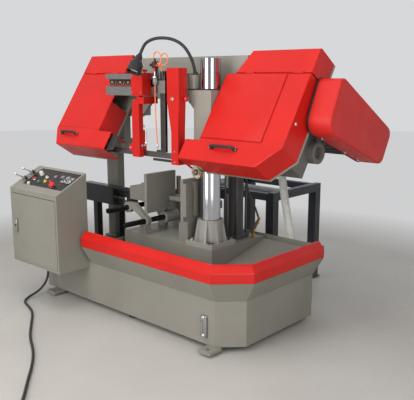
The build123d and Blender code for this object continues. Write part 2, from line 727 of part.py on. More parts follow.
# Movable jaw: plate, slab and key, with the vise rod and piston
SLAB_FRONT = (SLAB_NEAR, TABLE_Y[0] - SLAB_GAP)
KEY_Y = (SLOT_Y[0] + SLIDING, SLOT_Y[1] - SLIDING)
with BuildPart() as movable_jaw:
    plate_x = (JAW_FACE_LEFT - JAW_THICK, JAW_FACE_LEFT)
    block(plate_x, (JAW_Y[0], SLAB_FRONT[1]), (JAW_FOOT, JAW_TOP))
    block(plate_x, JAW_Y, (TABLE_TOP + SLIDING, JAW_TOP))
    block((SLAB_LEFT, plate_x[0]), SLAB_FRONT, SLAB_Z)
    block((SLAB_LEFT, plate_x[0]), (SLAB_FRONT[1], JAW_Y[1]), (TABLE_TOP + SLIDING, SLAB_Z[1]))
    for rib in (SLAB_FRONT[0], JAW_Y[1] - JAW_THICK):
        prism("y", [(plate_x[0], JAW_TOP), (plate_x[0] - 3 * JAW_THICK, SLAB_Z[1]),
                    (plate_x[0], SLAB_Z[1])], (rib, rib + JAW_THICK))
    block((SLAB_LEFT, KEY_RIGHT), KEY_Y, (TABLE_TOP - TABLE_THICK + SLIDING, TABLE_TOP + SLIDING))
    block(VISE_LUG_X, KEY_Y, (VISE_LUG_FOOT, SLAB_Z[1]))
    bar("x", (VISE_PISTON_X[1], VISE_LUG_X[0]), VISE_AXIS, VISE_ROD)
    bar("x", VISE_PISTON_X, VISE_AXIS, VISE_BORE - RUNNING)
movable_jaw.part.label = "movable_jaw"
export_step(movable_jaw.part, "parts/movable_jaw.step")

# Side channel: black channel on two posts, with a shelf for the vise cylinder
with BuildPart() as side_channel:
    block(CHANNEL_X, (CHANNEL_Y[0], CHANNEL_Y[0] + CHANNEL_WALL), CHANNEL_Z)
    block((CHANNEL_X[0], CHANNEL_SHELF_X), (CHANNEL_Y[0], CHANNEL_SHELF_Y), (CHANNEL_Z[0], SHELF_TOP))
    block((CHANNEL_X[0], CHANNEL_CAP_X), CHANNEL_Y, (CHANNEL_Z[1] - CHANNEL_WALL, CHANNEL_Z[1]))
    for x in CHANNEL_POSTS_X:
        block((x, x + CHANNEL_POST), (CHANNEL_Y[1], CHANNEL_Y[1] + CHANNEL_POST),
              (BODY_TOP, CHANNEL_Z[0]))
side_channel.part.label = "side_channel"
export_step(side_channel.part, "parts/side_channel.step")

# Rod yoke: light casting that ties the front ends of the two feed rods to the bed
with BuildPart() as rod_yoke:
    with BuildSketch(plane_at("y", *YOKE_Y)) as yoke_outline:
        for centre, radius in ((UPPER_ROD, YOKE_BOSS[0]), (LOWER_ROD, YOKE_BOSS[1])):
            with Locations(centre):
                Circle(radius)
        with BuildLine():
            Polyline((UPPER_ROD[0], UPPER_ROD[1] + YOKE_BOSS[0]),
                     (UPPER_ROD[0] + YOKE_SHOULDER, UPPER_ROD[1] + YOKE_BOSS[0]),
                     (LOWER_ROD[0] + YOKE_BOSS[1], LOWER_ROD[1] + ROD_RADIUS), LOWER_ROD,
                     (UPPER_ROD[0] + YOKE_NECK, UPPER_ROD[1] - ROD_RADIUS / 2),
                     (UPPER_ROD[0], UPPER_ROD[1] - ROD_RADIUS / 2), close=True)
        make_face()
    extrude(amount=YOKE_Y[1] - YOKE_Y[0])
    block((LOWER_ROD[0] - YOKE_BOSS[1], LOWER_ROD[0] + YOKE_BOSS[1]), (BED_Y[0], YOKE_Y[1] + YOKE_SOLE),
          (BED_TOP, BED_TOP + JAW_THICK))
    block((LOWER_ROD[0] - JAW_THICK, LOWER_ROD[0] + JAW_THICK), (BED_Y[0], YOKE_Y[1]),
          (BED_TOP, LOWER_ROD[1] - ROD_RADIUS))
    for rod in (LOWER_ROD, UPPER_ROD):
        bar("y", YOKE_Y, rod, ROD_RADIUS + RUNNING, Mode.SUBTRACT)
rod_yoke.part.label = "rod_yoke"
export_step(rod_yoke.part, "parts/rod_yoke.step")

# Feed rods: two black bars along the feed direction
with BuildPart() as feed_rods:
    for rod in (LOWER_ROD, UPPER_ROD):
        bar("y", ROD_Y, rod, ROD_RADIUS)
feed_rods.part.label = "feed_rods"
export_step(feed_rods.part, "parts/feed_rods.step")

# Feed carriage: two sleeves on the rods, a cross beam and the fixed feed jaw
with BuildPart() as feed_carriage:
    bar("y", CARRIAGE_RING_Y, LOWER_ROD, SLEEVE_BARREL)
    bar("y", CARRIAGE_Y, UPPER_ROD, SLEEVE_BARREL)
    block((UPPER_ROD[0], LOWER_ROD[0]), CARRIAGE_Y, (LOWER_ROD[1] - ROD_RADIUS, BEAM_Z[0]))
    block(BEAM_X, CARRIAGE_Y, BEAM_Z)
    block((JAW_FACE_RIGHT, JAW_FACE_RIGHT + JAW_THICK), CARRIAGE_Y, (BEAM_Z[1], FEED_JAW_TOP))
    bar("y", CARRIAGE_RING_Y, LOWER_ROD, ROD_RADIUS + RUNNING, Mode.SUBTRACT)
    bar("y", CARRIAGE_Y, UPPER_ROD, ROD_RADIUS + RUNNING, Mode.SUBTRACT)
feed_carriage.part.label = "feed_carriage"
export_step(feed_carriage.part, "parts/feed_carriage.step")

# Feed jaw: slides along the carriage beam on a wrap-round saddle
SADDLE_X = (JAW_FACE_LEFT - 3 * JAW_THICK, JAW_FACE_LEFT)
with BuildPart() as feed_jaw:
    block((JAW_FACE_LEFT - JAW_THICK, JAW_FACE_LEFT), CARRIAGE_Y, (BEAM_Z[1] + SLIDING, FEED_JAW_TOP))
    block(SADDLE_X, CARRIAGE_Y, (BEAM_Z[1] + SLIDING, BEAM_Z[1] + JAW_THICK))
    block(SADDLE_X, (CARRIAGE_Y[1] + SLIDING, CARRIAGE_Y[1] + JAW_THICK / 2),
          (BEAM_Z[0] + JAW_THICK / 2, BEAM_Z[1] + JAW_THICK))
    block(SADDLE_X, (CARRIAGE_Y[1], CARRIAGE_Y[1] + JAW_THICK / 2),
          (BEAM_Z[1] + SLIDING, BEAM_Z[1] + JAW_THICK))
feed_jaw.part.label = "feed_jaw"
export_step(feed_jaw.part, "parts/feed_jaw.step")

# Rear roller table: channel frame on four legs, tied to the bed's rear bracket
ROLLER_Z = TABLE_TOP + ROLLER_RISE - ROLLER_RADIUS
with BuildPart() as roller_frame:
    for x, web in ((FRAME_X[0], 0), (FRAME_X[1] - FRAME_FLANGE, FRAME_FLANGE - FRAME_WALL)):
        block((x, x + FRAME_FLANGE), FRAME_Y, (TABLE_TOP - FRAME_RAIL, TABLE_TOP))
        cut = (x + FRAME_WALL, x + FRAME_FLANGE) if web == 0 else (x, x + web)
        block(cut, FRAME_Y, (TABLE_TOP - FRAME_RAIL + FRAME_WALL, TABLE_TOP - FRAME_WALL), Mode.SUBTRACT)
    for y in (FRAME_Y[0], FRAME_Y[1] - FRAME_FLANGE):
        block((FRAME_X[0] + FRAME_WALL, FRAME_X[1] - FRAME_WALL), (y, y + FRAME_FLANGE),
              (TABLE_TOP - FRAME_RAIL, TABLE_TOP - FRAME_WALL))
    for x in (FRAME_X[0], FRAME_X[1] - LEG_SIDE):
        for y in (FRAME_Y[0], FRAME_Y[1] - LEG_SIDE):
            block((x, x + LEG_SIDE), (y, y + LEG_SIDE), (LEG_FOOT, TABLE_TOP - FRAME_RAIL))
            block((x - LEG_FOOT, x + LEG_SIDE + LEG_FOOT), (y - LEG_FOOT, y + LEG_SIDE + LEG_FOOT),
                  (0, LEG_FOOT))
    for tie_x in TIE_X:
        block(tie_x, (END_BRACKET_Y[1], FRAME_Y[0] + FRAME_FLANGE), TIE_Z)
    for x in (FRAME_X[0], FRAME_X[1] - FRAME_WALL):
        bar("x", (x, x + FRAME_WALL), (ROLLER_Y, ROLLER_Z), ROLLER_PIN + RUNNING, Mode.SUBTRACT)
    for x in (FRAME_X[0] + FRAME_WALL, FRAME_X[1] - FRAME_FLANGE):
        block((x, x + FRAME_FLANGE - FRAME_WALL),
              (ROLLER_Y - ROLLER_RADIUS - SLIDING, ROLLER_Y + ROLLER_RADIUS + SLIDING),
              (TABLE_TOP - FRAME_WALL, TABLE_TOP), Mode.SUBTRACT)
roller_frame.part.label = "roller_frame"
export_step(roller_frame.part, "parts/roller_frame.step")

# Table roller: free roller on its two pins
with BuildPart() as table_roller:
    bar("x", (FRAME_X[0] + FRAME_FLANGE + SLIDING, FRAME_X[1] - FRAME_FLANGE - SLIDING),
        (ROLLER_Y, ROLLER_Z), ROLLER_RADIUS)
    bar("x", FRAME_X, (ROLLER_Y, ROLLER_Z), ROLLER_PIN)
table_roller.part.label = "table_roller"
export_step(table_roller.part, "parts/table_roller.step")


def guard_outline(span, cut, corner_side, top):
    """A wheel guard's outline in the wheel frame, with its lower outer corner cut off."""
    low, high = span
    if corner_side == "left":
        return [(low, GUARD_BOTTOM + cut[1]), (low + cut[0], GUARD_BOTTOM), (high, GUARD_BOTTOM),
                (high, top), (low, top)]
    return [(low, GUARD_BOTTOM), (high - cut[0], GUARD_BOTTOM), (high, GUARD_BOTTOM + cut[1]),
            (high, top), (low, top)]


# Bow frame: beam plate, column sleeve, tilted back plates, side shoe and stiffening wedges
HOOD_LEFT_TOP = DRIVE_HOOD_LEFT + HOOD_SLANT
PLATE_OUTLINE = [(PLATE_X[0], LEFT_LEG), (THROAT_LEFT - (THROAT_TOP - LEFT_LEG), LEFT_LEG),
                 (THROAT_LEFT, THROAT_TOP), (THROAT_RIGHT, THROAT_TOP),
                 (THROAT_RIGHT + THROAT_TOP - RIGHT_LEG, RIGHT_LEG), (PLATE_X[1], RIGHT_LEG),
                 (PLATE_X[1], PLATE_SHOULDER_Z[0]), (DRIVE_HOOD_LEFT - LID_GAP, PLATE_SHOULDER_Z[1]),
                 (PLATE_RIGHT, PLATE_TOP),
                 (PLATE_X[0], PLATE_TOP)]
WEDGE_FRONT_Z = BLADE_Z + (BACK_N + (PLATE_Y[0] - BLADE_Y) * TILT_COS) / TILT_SIN
WEDGE_BACK_Z = BLADE_Z + (BACK_N + (WEDGE_BACK - BLADE_Y) * TILT_COS) / TILT_SIN
WEDGE_OUTLINE = [(PLATE_Y[0], WEDGE_FOOT), (PLATE_Y[0], WEDGE_FRONT_Z), (WEDGE_BACK, WEDGE_BACK_Z),
                 (WEDGE_BACK, WEDGE_FOOT)]
SHOE_Y = (SIDE_Y[0] - SLIDING - SHOE_LIP, SIDE_Y[1] + SLIDING + SHOE_LIP)
SHOE_X = (SIDE_X[1] + SLIDING, SHOE_RIGHT)
RETURN_S = 2 * WHEEL_RADIUS
RETURN_SLOT = [wheel_to_world(0, RETURN_S + s * RETURN_ROOM[0], n * RETURN_ROOM[1])[1:]
               for s, n in ((-1, -1), (-1, 1), (1, 1), (1, -1))]
with BuildPart() as bow_frame:
    prism("y", PLATE_OUTLINE, PLATE_Y)
    prism("x", WEDGE_OUTLINE, (WEDGE_LEFT, PLATE_X[0]))
    prism("x", WEDGE_OUTLINE, (PLATE_X[1], WEDGE_RIGHT))
    prism("wheel", guard_outline(IDLER_X, IDLER_CUT, "left", HOOD_TOP), (BACK_N, GUARD_N[0]))
    prism("wheel", guard_outline(DRIVE_X, DRIVE_CUT, "right", HINGE_S), (BACK_N, GUARD_N[0]))
    prism("wheel", [(DRIVE_HOOD_LEFT, HINGE_S), (DRIVE_HOOD_RIGHT, HINGE_S), (DRIVE_HOOD_RIGHT, HOOD_TOP),
                    (HOOD_LEFT_TOP, HOOD_TOP)], (BACK_N, GUARD_N[0]))
    block(SLEEVE_X, SLEEVE_Y, SLEEVE_Z)
    block(CLAMP_X, SLEEVE_Y, (SLEEVE_Z[1], CLAMP_TOP))
    bar("z", (SLEEVE_Z[0], CLAMP_TOP), COLUMN_AT, COLUMN_RADIUS + RUNNING, Mode.SUBTRACT)
    block(SHOE_X, SIDE_Y, (SHOE_Z[0], WEDGE_FOOT + SHOE_REACH))
    block((SHOE_X[0] - SHOE_REACH, SHOE_X[1]), (SHOE_Y[0], SIDE_Y[0] - SLIDING), SHOE_Z)
    block((SHOE_X[0] - SHOE_REACH, SHOE_X[1]), (SIDE_Y[1] + SLIDING, SHOE_Y[1]), SHOE_Z)
    block(SHOE_X, SHOE_Y, SHOE_Z)
    block((LIFT_AT[0] - LIFT_RADIUS, LIFT_AT[0] + LIFT_RADIUS), (PLATE_Y[1], LIFT_AT[1] + LIFT_RADIUS),
          LIFT_LUG_Z)
    for x in BRACKETS_X:
        block((x, x + BRACKET_WIDTH), (RAIL_Y[1], PLATE_Y[0]), (RAIL_LOW_Z[0], RAIL_TOP_Z[1]))
    prism("x", RETURN_SLOT, (BRACKETS_X[0], CLAMP_X[1]), Mode.SUBTRACT)
    for side in (-1, 1):
        low = IDLER_AT[1] + side * (SLIDE_HALF_S + SLIDING)
        rail = sorted((low, low + side * SLIDE_RAIL))
        along = (IDLER_AT[0] - SLIDE_HALF_X, IDLER_AT[0] + SLIDE_HALF_X + TENSION_TRAVEL)
        prism("wheel", oblong(along, rail), (GUARD_N[0], SLIDE_N[1] - SLIDING))
    disc("wheel", DRIVE_AT, AXLE_RADIUS + LID_GAP, (BACK_N, GUARD_N[0]), Mode.SUBTRACT)
    block((BRUSH_AT[0] - 2 * BRUSH_AXLE, SLEEVE_X[1]), BRUSH_ARM_Y, BRUSH_ARM_Z)
    block((SLEEVE_X[1] - 2 * BRUSH_AXLE, SLEEVE_X[1]), (BRUSH_ARM_Y[0], BRUSH_STRIP_Y[1]), BRUSH_ARM_Z)
    block((SLEEVE_X[1] - 2 * BRUSH_AXLE, SLEEVE_X[1]), BRUSH_STRIP_Y,
          (BRUSH_ARM_Z[0], SLEEVE_Z[0] + FLANGE_THICK))
    bar("y", (BRUSH_Y[0] - LID_GAP, BRUSH_ARM_Y[1]), BRUSH_AT, BRUSH_AXLE)
    bar("y", (DRAIN_PIPE_START, HOSE_TOP[1] + DRAIN_PIPE), (HOSE_TOP[0], HOSE_PIPE_Z), DRAIN_PIPE)
    bar("z", (HOSE_TOP[2], HOSE_PIPE_Z), HOSE_TOP[:2], DRAIN_PIPE - LID_GAP)
    block((HOSE_TOP[0] - DRAIN_PIPE / 2, HOSE_TOP[0] + DRAIN_PIPE / 2), DRAIN_HANGER_Y,
          (HOSE_PIPE_Z + DRAIN_PIPE / 2, WEDGE_FOOT))
bow_frame.part.label = "bow_frame"
export_step(bow_frame.part, "parts/bow_frame.step")


HINGE_YZ = wheel_to_world(0, HINGE_S, GUARD_N[1])[1:]


def hinge_eyes(axis, start, at, knuckle):
    """The fixed half of a hinge: its pin and two eyes, with room for the knuckle between them."""
    bar(axis, (start + HINGE_EYE, start + HINGE_LENGTH - HINGE_EYE), at, knuckle + SLIDING, Mode.SUBTRACT)
    bar(axis, (start, start + HINGE_LENGTH), at, HINGE_PIN)
    for end in (start, start + HINGE_LENGTH - HINGE_EYE):
        bar(axis, (end, end + HINGE_EYE), at, knuckle)


def hinge_knuckle(axis, start, at, knuckle):
    """The moving half of a hinge: its knuckle on the pin, with room for the two eyes."""
    for end in (start - SLIDING, start + HINGE_LENGTH - HINGE_EYE - SLIDING):
        bar(axis, (end, end + HINGE_EYE + 2 * SLIDING), at, knuckle + SLIDING, Mode.SUBTRACT)
    bar(axis, (start + HINGE_EYE + SLIDING, start + HINGE_LENGTH - HINGE_EYE - SLIDING), at, knuckle)
    bar(axis, (start, start + HINGE_LENGTH), at, HINGE_PIN + RUNNING, Mode.SUBTRACT)


def hollow(axis, corners, wall, span):
    """Cut a prism's inside out, a wall's thickness in from its outline."""
    with BuildSketch(plane_at(axis, *span)) as outline:
        with BuildLine():
            Polyline(*corners, close=True)
        make_face()
        offset(amount=-wall, kind=Kind.INTERSECTION, mode=Mode.REPLACE)
    extrude(outline.sketch, amount=span[1] - span[0], mode=Mode.SUBTRACT)


# Wheel hoods: the fixed upper covers over both wheels, open below and behind
HOOD_S = (HINGE_S + LID_GAP, HOOD_TOP)
IDLER_HOOD = oblong(IDLER_X, HOOD_S)
DRIVE_HOOD = [(DRIVE_HOOD_LEFT, HOOD_S[0]), (DRIVE_HOOD_RIGHT, HOOD_S[0]), (DRIVE_HOOD_RIGHT, HOOD_TOP),
              (HOOD_LEFT_TOP, HOOD_TOP)]
HOOD_INSIDE = (HOOD_S[0] - PANEL_SHEET, HOOD_S[0] + 2 * PANEL_SHEET)
with BuildPart() as wheel_hoods:
    for corners in (IDLER_HOOD, DRIVE_HOOD):
        prism("wheel", corners, GUARD_N)
    fillet(wheel_hoods.faces().group_by(WHEEL_AXIS)[-1].edges(), EDGE_ROUND)
    for corners in (IDLER_HOOD, DRIVE_HOOD):
        hollow("wheel", corners, PANEL_SHEET, (GUARD_N[0], GUARD_N[1] - PANEL_SHEET))
    for span in (IDLER_X, (HOOD_LEFT_TOP, DRIVE_HOOD_RIGHT)):
        prism("wheel", oblong((span[0] + PANEL_SHEET, span[1] - PANEL_SHEET), HOOD_INSIDE),
              (GUARD_N[0], GUARD_N[1] - 2 * EDGE_ROUND), Mode.SUBTRACT)
    for start in (*IDLER_HINGES_X, *DRIVE_HINGES_X):
        hinge_eyes("x", start, HINGE_YZ, HINGE_KNUCKLE)
wheel_hoods.part.label = "wheel_hoods"
export_step(wheel_hoods.part, "parts/wheel_hoods.step")

# Wheel doors: the hinged lower covers, each with the band that runs in towards the work
DOOR_N = (GUARD_N[0] + LID_GAP, GUARD_N[1])
DOOR_INSIDE = (DOOR_N[0], DOOR_N[1] - PANEL_SHEET)
DOOR_TOP = HINGE_S - LID_GAP
BAND_INSIDE = (GUARD_BOTTOM + PANEL_SHEET, BAND_TOP - PANEL_SHEET)
DRIVE_DOOR = [(DRIVE_BAND, GUARD_BOTTOM), (DRIVE_X[1] - DRIVE_CUT[0], GUARD_BOTTOM),
              (DRIVE_X[1], GUARD_BOTTOM + DRIVE_CUT[1]), (DRIVE_X[1], DOOR_TOP), (DRIVE_X[0], DOOR_TOP),
              (DRIVE_X[0], BAND_TOP), (DRIVE_BAND, BAND_TOP)]
IDLER_DOOR = [(IDLER_X[0] + IDLER_CUT[0], GUARD_BOTTOM), (IDLER_BAND, GUARD_BOTTOM), (IDLER_BAND, BAND_TOP),
              (IDLER_X[1], BAND_TOP), (IDLER_X[1], DOOR_TOP), (IDLER_X[0], DOOR_TOP),
              (IDLER_X[0], GUARD_BOTTOM + IDLER_CUT[1])]
GROOVE_N = (DOOR_N[1] - GROOVE_DEPTH, DOOR_N[1])
GROOVE_S = (BAND_TOP + GROOVE_DEPTH, BAND_TOP + GROOVE_DEPTH + GROOVE_WIDTH)
FOLD_S = (DOOR_TOP - 2 * PANEL_SHEET, DOOR_TOP + LID_GAP)
FOLD_N = (DOOR_N[0] - LID_GAP, DOOR_N[1] - DOOR_FOLD)
with BuildPart() as drive_door:
    prism("wheel", DRIVE_DOOR, DOOR_N)
    fillet(drive_door.faces().sort_by(WHEEL_AXIS)[-1].edges(), EDGE_ROUND)
    hollow("wheel", DRIVE_DOOR, PANEL_SHEET, DOOR_INSIDE)
    prism("wheel", oblong((DRIVE_BAND, DRIVE_BAND + 2 * PANEL_SHEET), BAND_INSIDE),
          (DOOR_N[0], DOOR_N[1] - EDGE_ROUND), Mode.SUBTRACT)
    prism("wheel", oblong((DRIVE_X[0], DRIVE_X[0] + PANEL_SHEET), (SKIRT_TOP, DOOR_TOP - PANEL_SHEET)),
          (DOOR_N[0], DOOR_N[1] - EDGE_ROUND), Mode.SUBTRACT)
    prism("wheel", oblong((DRIVE_BAND, DRIVE_X[0]), (GUARD_BOTTOM, BAND_TOP)), (DOOR_N[0], BAND_BACK),
          Mode.SUBTRACT)
    prism("wheel", oblong((BRUSH_AT[0] - BRUSH_NOTCH, BRUSH_AT[0] + BRUSH_NOTCH),
                          (GUARD_BOTTOM, GUARD_BOTTOM + 2 * PANEL_SHEET)), (DOOR_N[0], BRUSH_NOTCH_N),
          Mode.SUBTRACT)
    prism("wheel", oblong((GROOVE_X, GROOVE_X + GROOVE_WIDTH), (GROOVE_S[0], DOOR_TOP)), GROOVE_N,
          Mode.SUBTRACT)
    prism("wheel", oblong((DRIVE_X[0], GROOVE_X), GROOVE_S), GROOVE_N, Mode.SUBTRACT)
    prism("wheel", oblong((DRIVE_X[0], DRIVE_X[1] - PANEL_SHEET), FOLD_S), FOLD_N,
          Mode.SUBTRACT)
    for start in DRIVE_HINGES_X:
        hinge_knuckle("x", start, HINGE_YZ, HINGE_KNUCKLE)
drive_door.part.label = "drive_door"
export_step(drive_door.part, "parts/drive_door.step")

with BuildPart() as idler_door:
    prism("wheel", IDLER_DOOR, DOOR_N)
    fillet(idler_door.faces().sort_by(WHEEL_AXIS)[-1].edges(), EDGE_ROUND)
    hollow("wheel", IDLER_DOOR, PANEL_SHEET, DOOR_INSIDE)
    prism("wheel", oblong((IDLER_BAND - 2 * PANEL_SHEET, IDLER_BAND), BAND_INSIDE),
          (DOOR_N[0], DOOR_N[1] - EDGE_ROUND), Mode.SUBTRACT)
    prism("wheel", oblong((IDLER_X[1] - PANEL_SHEET, IDLER_X[1]), (SKIRT_TOP, DOOR_TOP - PANEL_SHEET)),
          (DOOR_N[0], DOOR_N[1] - EDGE_ROUND), Mode.SUBTRACT)
    prism("wheel", oblong((IDLER_X[0] + EDGE_ROUND, IDLER_X[1]), GROOVE_S), GROOVE_N, Mode.SUBTRACT)
    prism("wheel", oblong((IDLER_X[0] + PANEL_SHEET, IDLER_X[1]), FOLD_S), FOLD_N,
          Mode.SUBTRACT)
    for start in IDLER_HINGES_X:
        hinge_knuckle("x", start, HINGE_YZ, HINGE_KNUCKLE)
idler_door.part.label = "idler_door"
export_step(idler_door.part, "parts/idler_door.step")


def door_handle(x):
    """A bow grip on two feet, standing on a wheel door."""
    for foot in (x[0] + 2 * GRIP_RADIUS, x[1] - 2 * GRIP_RADIUS):
        disc("wheel", (foot, DOOR_HANDLE_S), GRIP_RADIUS, (GUARD_N[1], GUARD_N[1] + GRIP_REACH))
    prism("wheel", oblong(x, (DOOR_HANDLE_S - GRIP_RADIUS, DOOR_HANDLE_S + GRIP_RADIUS)),
          (GUARD_N[1] + GRIP_REACH - GRIP_RADIUS, GUARD_N[1] + GRIP_REACH))


with BuildPart() as drive_handle:
    door_handle(DRIVE_HANDLE_X)
drive_handle.part.label = "drive_handle"
export_step(drive_handle.part, "parts/drive_handle.step")

with BuildPart() as idler_handle:
    door_handle(IDLER_HANDLE_X)
idler_handle.part.label = "idler_handle"
export_step(idler_handle.part, "parts/idler_handle.step")


def band_wheel(centre):
    """A blade wheel: rim, pierced web and hub."""
    disc("wheel", centre, WHEEL_RADIUS, WHEEL_N)
    disc("wheel", centre, WHEEL_RADIUS - WHEEL_RIM, (WHEEL_N[0], WHEEL_WEB_N[0]), Mode.SUBTRACT)
    disc("wheel", centre, WHEEL_RADIUS - WHEEL_RIM, (WHEEL_WEB_N[1], WHEEL_N[1]), Mode.SUBTRACT)
    for index in range(WEB_HOLES):
        angle = 2 * math.pi * index / WEB_HOLES
        place = (centre[0] + WEB_HOLE_AT * math.cos(angle), centre[1] + WEB_HOLE_AT * math.sin(angle))
        disc("wheel", place, WEB_HOLE, WHEEL_WEB_N, Mode.SUBTRACT)
    disc("wheel", centre, HUB_RADIUS, HUB_N)


# Idler wheel, free on the axle of the tension slide
with BuildPart() as idler_wheel:
    band_wheel(IDLER_AT)
    disc("wheel", IDLER_AT, AXLE_RADIUS + RUNNING, HUB_N, Mode.SUBTRACT)
idler_wheel.part.label = "idler_wheel"
export_step(idler_wheel.part, "parts/idler_wheel.step")

# Drive wheel with the shaft that goes into the gearbox
SHAFT_END = GEARBOX_N + SHAFT_INSET
with BuildPart() as drive_wheel:
    band_wheel(DRIVE_AT)
    disc("wheel", DRIVE_AT, AXLE_RADIUS, (SHAFT_END, HUB_N[0]))
drive_wheel.part.label = "drive_wheel"
export_step(drive_wheel.part, "parts/drive_wheel.step")

# Tension slide: block between two rails, with the idler's axle and its end washer
with BuildPart() as tension_slide:
    prism("wheel", oblong((IDLER_AT[0] - SLIDE_HALF_X, IDLER_AT[0] + SLIDE_HALF_X),
                          (IDLER_AT[1] - SLIDE_HALF_S, IDLER_AT[1] + SLIDE_HALF_S)), SLIDE_N)
    disc("wheel", IDLER_AT, AXLE_RADIUS, (SLIDE_N[1], HUB_N[1] + SLIDING))
    disc("wheel", IDLER_AT, AXLE_RADIUS + 4 * LID_GAP,
         (HUB_N[1] + SLIDING, HUB_N[1] + SLIDING + PANEL_SHEET))
tension_slide.part.label = "tension_slide"
export_step(tension_slide.part, "parts/tension_slide.step")

# Blade: an endless band, upright between the guides and twisted on its way to both wheels
BLADE_INNER = WHEEL_RADIUS + BLADE_GAP
BLADE_OUTER = BLADE_INNER + BLADE_THICK
BLADE_N = (-BLADE_WIDTH / 2, BLADE_WIDTH / 2)
LOWER_S = (WHEEL_RADIUS - BLADE_OUTER, WHEEL_RADIUS - BLADE_INNER)
UPPER_S = (WHEEL_RADIUS + BLADE_INNER, WHEEL_RADIUS + BLADE_OUTER)
TWIST_ENDS = ((GUIDE_SPAN[0], IDLER_AT[0] + 2 * TENSION_TRAVEL),
              (GUIDE_SPAN[1], DRIVE_AT[0] - 2 * TENSION_TRAVEL))
with BuildPart() as blade:
    block(GUIDE_SPAN, (BLADE_Y - BLADE_THICK / 2, BLADE_Y + BLADE_THICK / 2),
          (BLADE_Z - BLADE_WIDTH / 2, BLADE_Z + BLADE_WIDTH / 2))
    for start, end in TWIST_ENDS:
        for step in range(TWIST_STEPS + 1):
            share = step / TWIST_STEPS
            turn = math.radians((90 - TILT) * share)
            centre = wheel_to_world(start + (end - start) * share, sum(LOWER_S) / 2 * share, 0)
            flat = (0, math.cos(turn), math.sin(turn))
            with BuildSketch(Plane(origin=centre, x_dir=flat, z_dir=(1, 0, 0))):
                Rectangle(BLADE_THICK, BLADE_WIDTH)
        loft(ruled=True)
    prism("wheel", oblong((IDLER_AT[0], TWIST_ENDS[0][1]), LOWER_S), BLADE_N)
    prism("wheel", oblong((TWIST_ENDS[1][1], DRIVE_AT[0]), LOWER_S), BLADE_N)
    prism("wheel", oblong((IDLER_AT[0], DRIVE_AT[0]), UPPER_S), BLADE_N)
    for centre, side in ((IDLER_AT, -1), (DRIVE_AT, 1)):
        with BuildSketch(WHEEL_PLANE.offset(BLADE_N[0])):
            with Locations(centre):
                Circle(BLADE_OUTER)
                Circle(BLADE_INNER, mode=Mode.SUBTRACT)
            with Locations((centre[0] - side * BLADE_OUTER, centre[1])):
                Rectangle(2 * BLADE_OUTER, 2 * BLADE_OUTER + BLADE_THICK, mode=Mode.SUBTRACT)
        extrude(amount=BLADE_WIDTH)
blade.part.label = "blade"
export_step(blade.part, "parts/blade.step")


def cover_face(inset, x):
    """The belt cover's rounded outline, drawn in by an inset, on the plane at x."""
    with BuildSketch(Plane.YZ.offset(x)) as outline:
        with BuildLine():
            Polyline(*COVER_CORNERS, close=True)
        make_face()
        for corner, radius in zip(COVER_CORNERS, COVER_ROUNDS):
            fillet(outline.vertices().sort_by_distance((*corner, 0))[0], radius)
        if inset:
            offset(amount=-inset, mode=Mode.REPLACE)
    return outline.sketch


# Gearbox: worm reducer behind the drive wheel, with the plate that carries the motor
with BuildPart() as gearbox:
    prism("wheel", oblong(GEARBOX_X, GEARBOX_S), (GEARBOX_N, BACK_N))
    bar("x", (GEARBOX_X[1] - GEAR_BOSS / 2, GEAR_BOSS_X), GEAR_BOSS_YZ, GEAR_BOSS)
    bar("x", (GEAR_BOSS_X - GEAR_EYE_DEPTH, GEAR_BOSS_X), GEAR_BOSS_YZ, GEAR_EYE, Mode.SUBTRACT)
    bar("x", (WORM_LEFT, CARRIER_X[0]), WORM_YZ, WORM_HOUSING)
    extrude(cover_face(CARRIER_INSET, CARRIER_X[0]), amount=CARRIER_X[1] - CARRIER_X[0])
    disc("wheel", DRIVE_AT, AXLE_RADIUS + RUNNING, (SHAFT_END - SHAFT_INSET / 2, BACK_N), Mode.SUBTRACT)
    bar("x", (WORM_SHAFT_X, CARRIER_X[1]), WORM_YZ, SHAFT_RADIUS + RUNNING, Mode.SUBTRACT)
    bar("x", CARRIER_X, MOTOR_YZ, SHAFT_RADIUS + LID_GAP, Mode.SUBTRACT)
gearbox.part.label = "gearbox"
export_step(gearbox.part, "parts/gearbox.step")

# Drive motor: ribbed barrel with a fan cowl, held by the carrier plate
with BuildPart() as drive_motor:
    bar("x", MOTOR_X, MOTOR_YZ, MOTOR_RADIUS - FIN_DEPTH)
    bar("x", (MOTOR_X[0], MOTOR_X[0] + MOTOR_COWL), MOTOR_YZ, MOTOR_RADIUS)
    bar("x", (MOTOR_X[1] - MOTOR_FLANGE, MOTOR_X[1]), MOTOR_YZ, MOTOR_RADIUS)
    with Locations(Plane(origin=(MOTOR_X[0] + MOTOR_COWL, *MOTOR_YZ), x_dir=(0, 1, 0), z_dir=(1, 0, 0))):
        with PolarLocations(MOTOR_RADIUS - FIN_DEPTH, MOTOR_FINS):
            Box(2 * FIN_DEPTH, FIN_THICK, MOTOR_X[1] - MOTOR_FLANGE - MOTOR_X[0] - MOTOR_COWL,
                align=(Align.CENTER, Align.CENTER, Align.MIN))
    bar("x", (MOTOR_SHAFT_X, MOTOR_X[1]), MOTOR_YZ, SHAFT_RADIUS + RUNNING, Mode.SUBTRACT)
drive_motor.part.label = "drive_motor"
export_step(drive_motor.part, "parts/drive_motor.step")

# Belt cover: rounded sheet box over both pulleys, open towards the carrier plate
with BuildPart() as belt_cover:
    extrude(cover_face(0, COVER_X[0]), amount=COVER_X[1] - COVER_X[0])
    fillet(belt_cover.faces().sort_by(Axis.X)[-1].edges(), COVER_EDGE)
    extrude(cover_face(COVER_SHEET, COVER_X[0]), amount=COVER_X[1] - COVER_X[0] - COVER_SHEET,
            mode=Mode.SUBTRACT)
belt_cover.part.label = "belt_cover"
export_step(belt_cover.part, "parts/belt_cover.step")

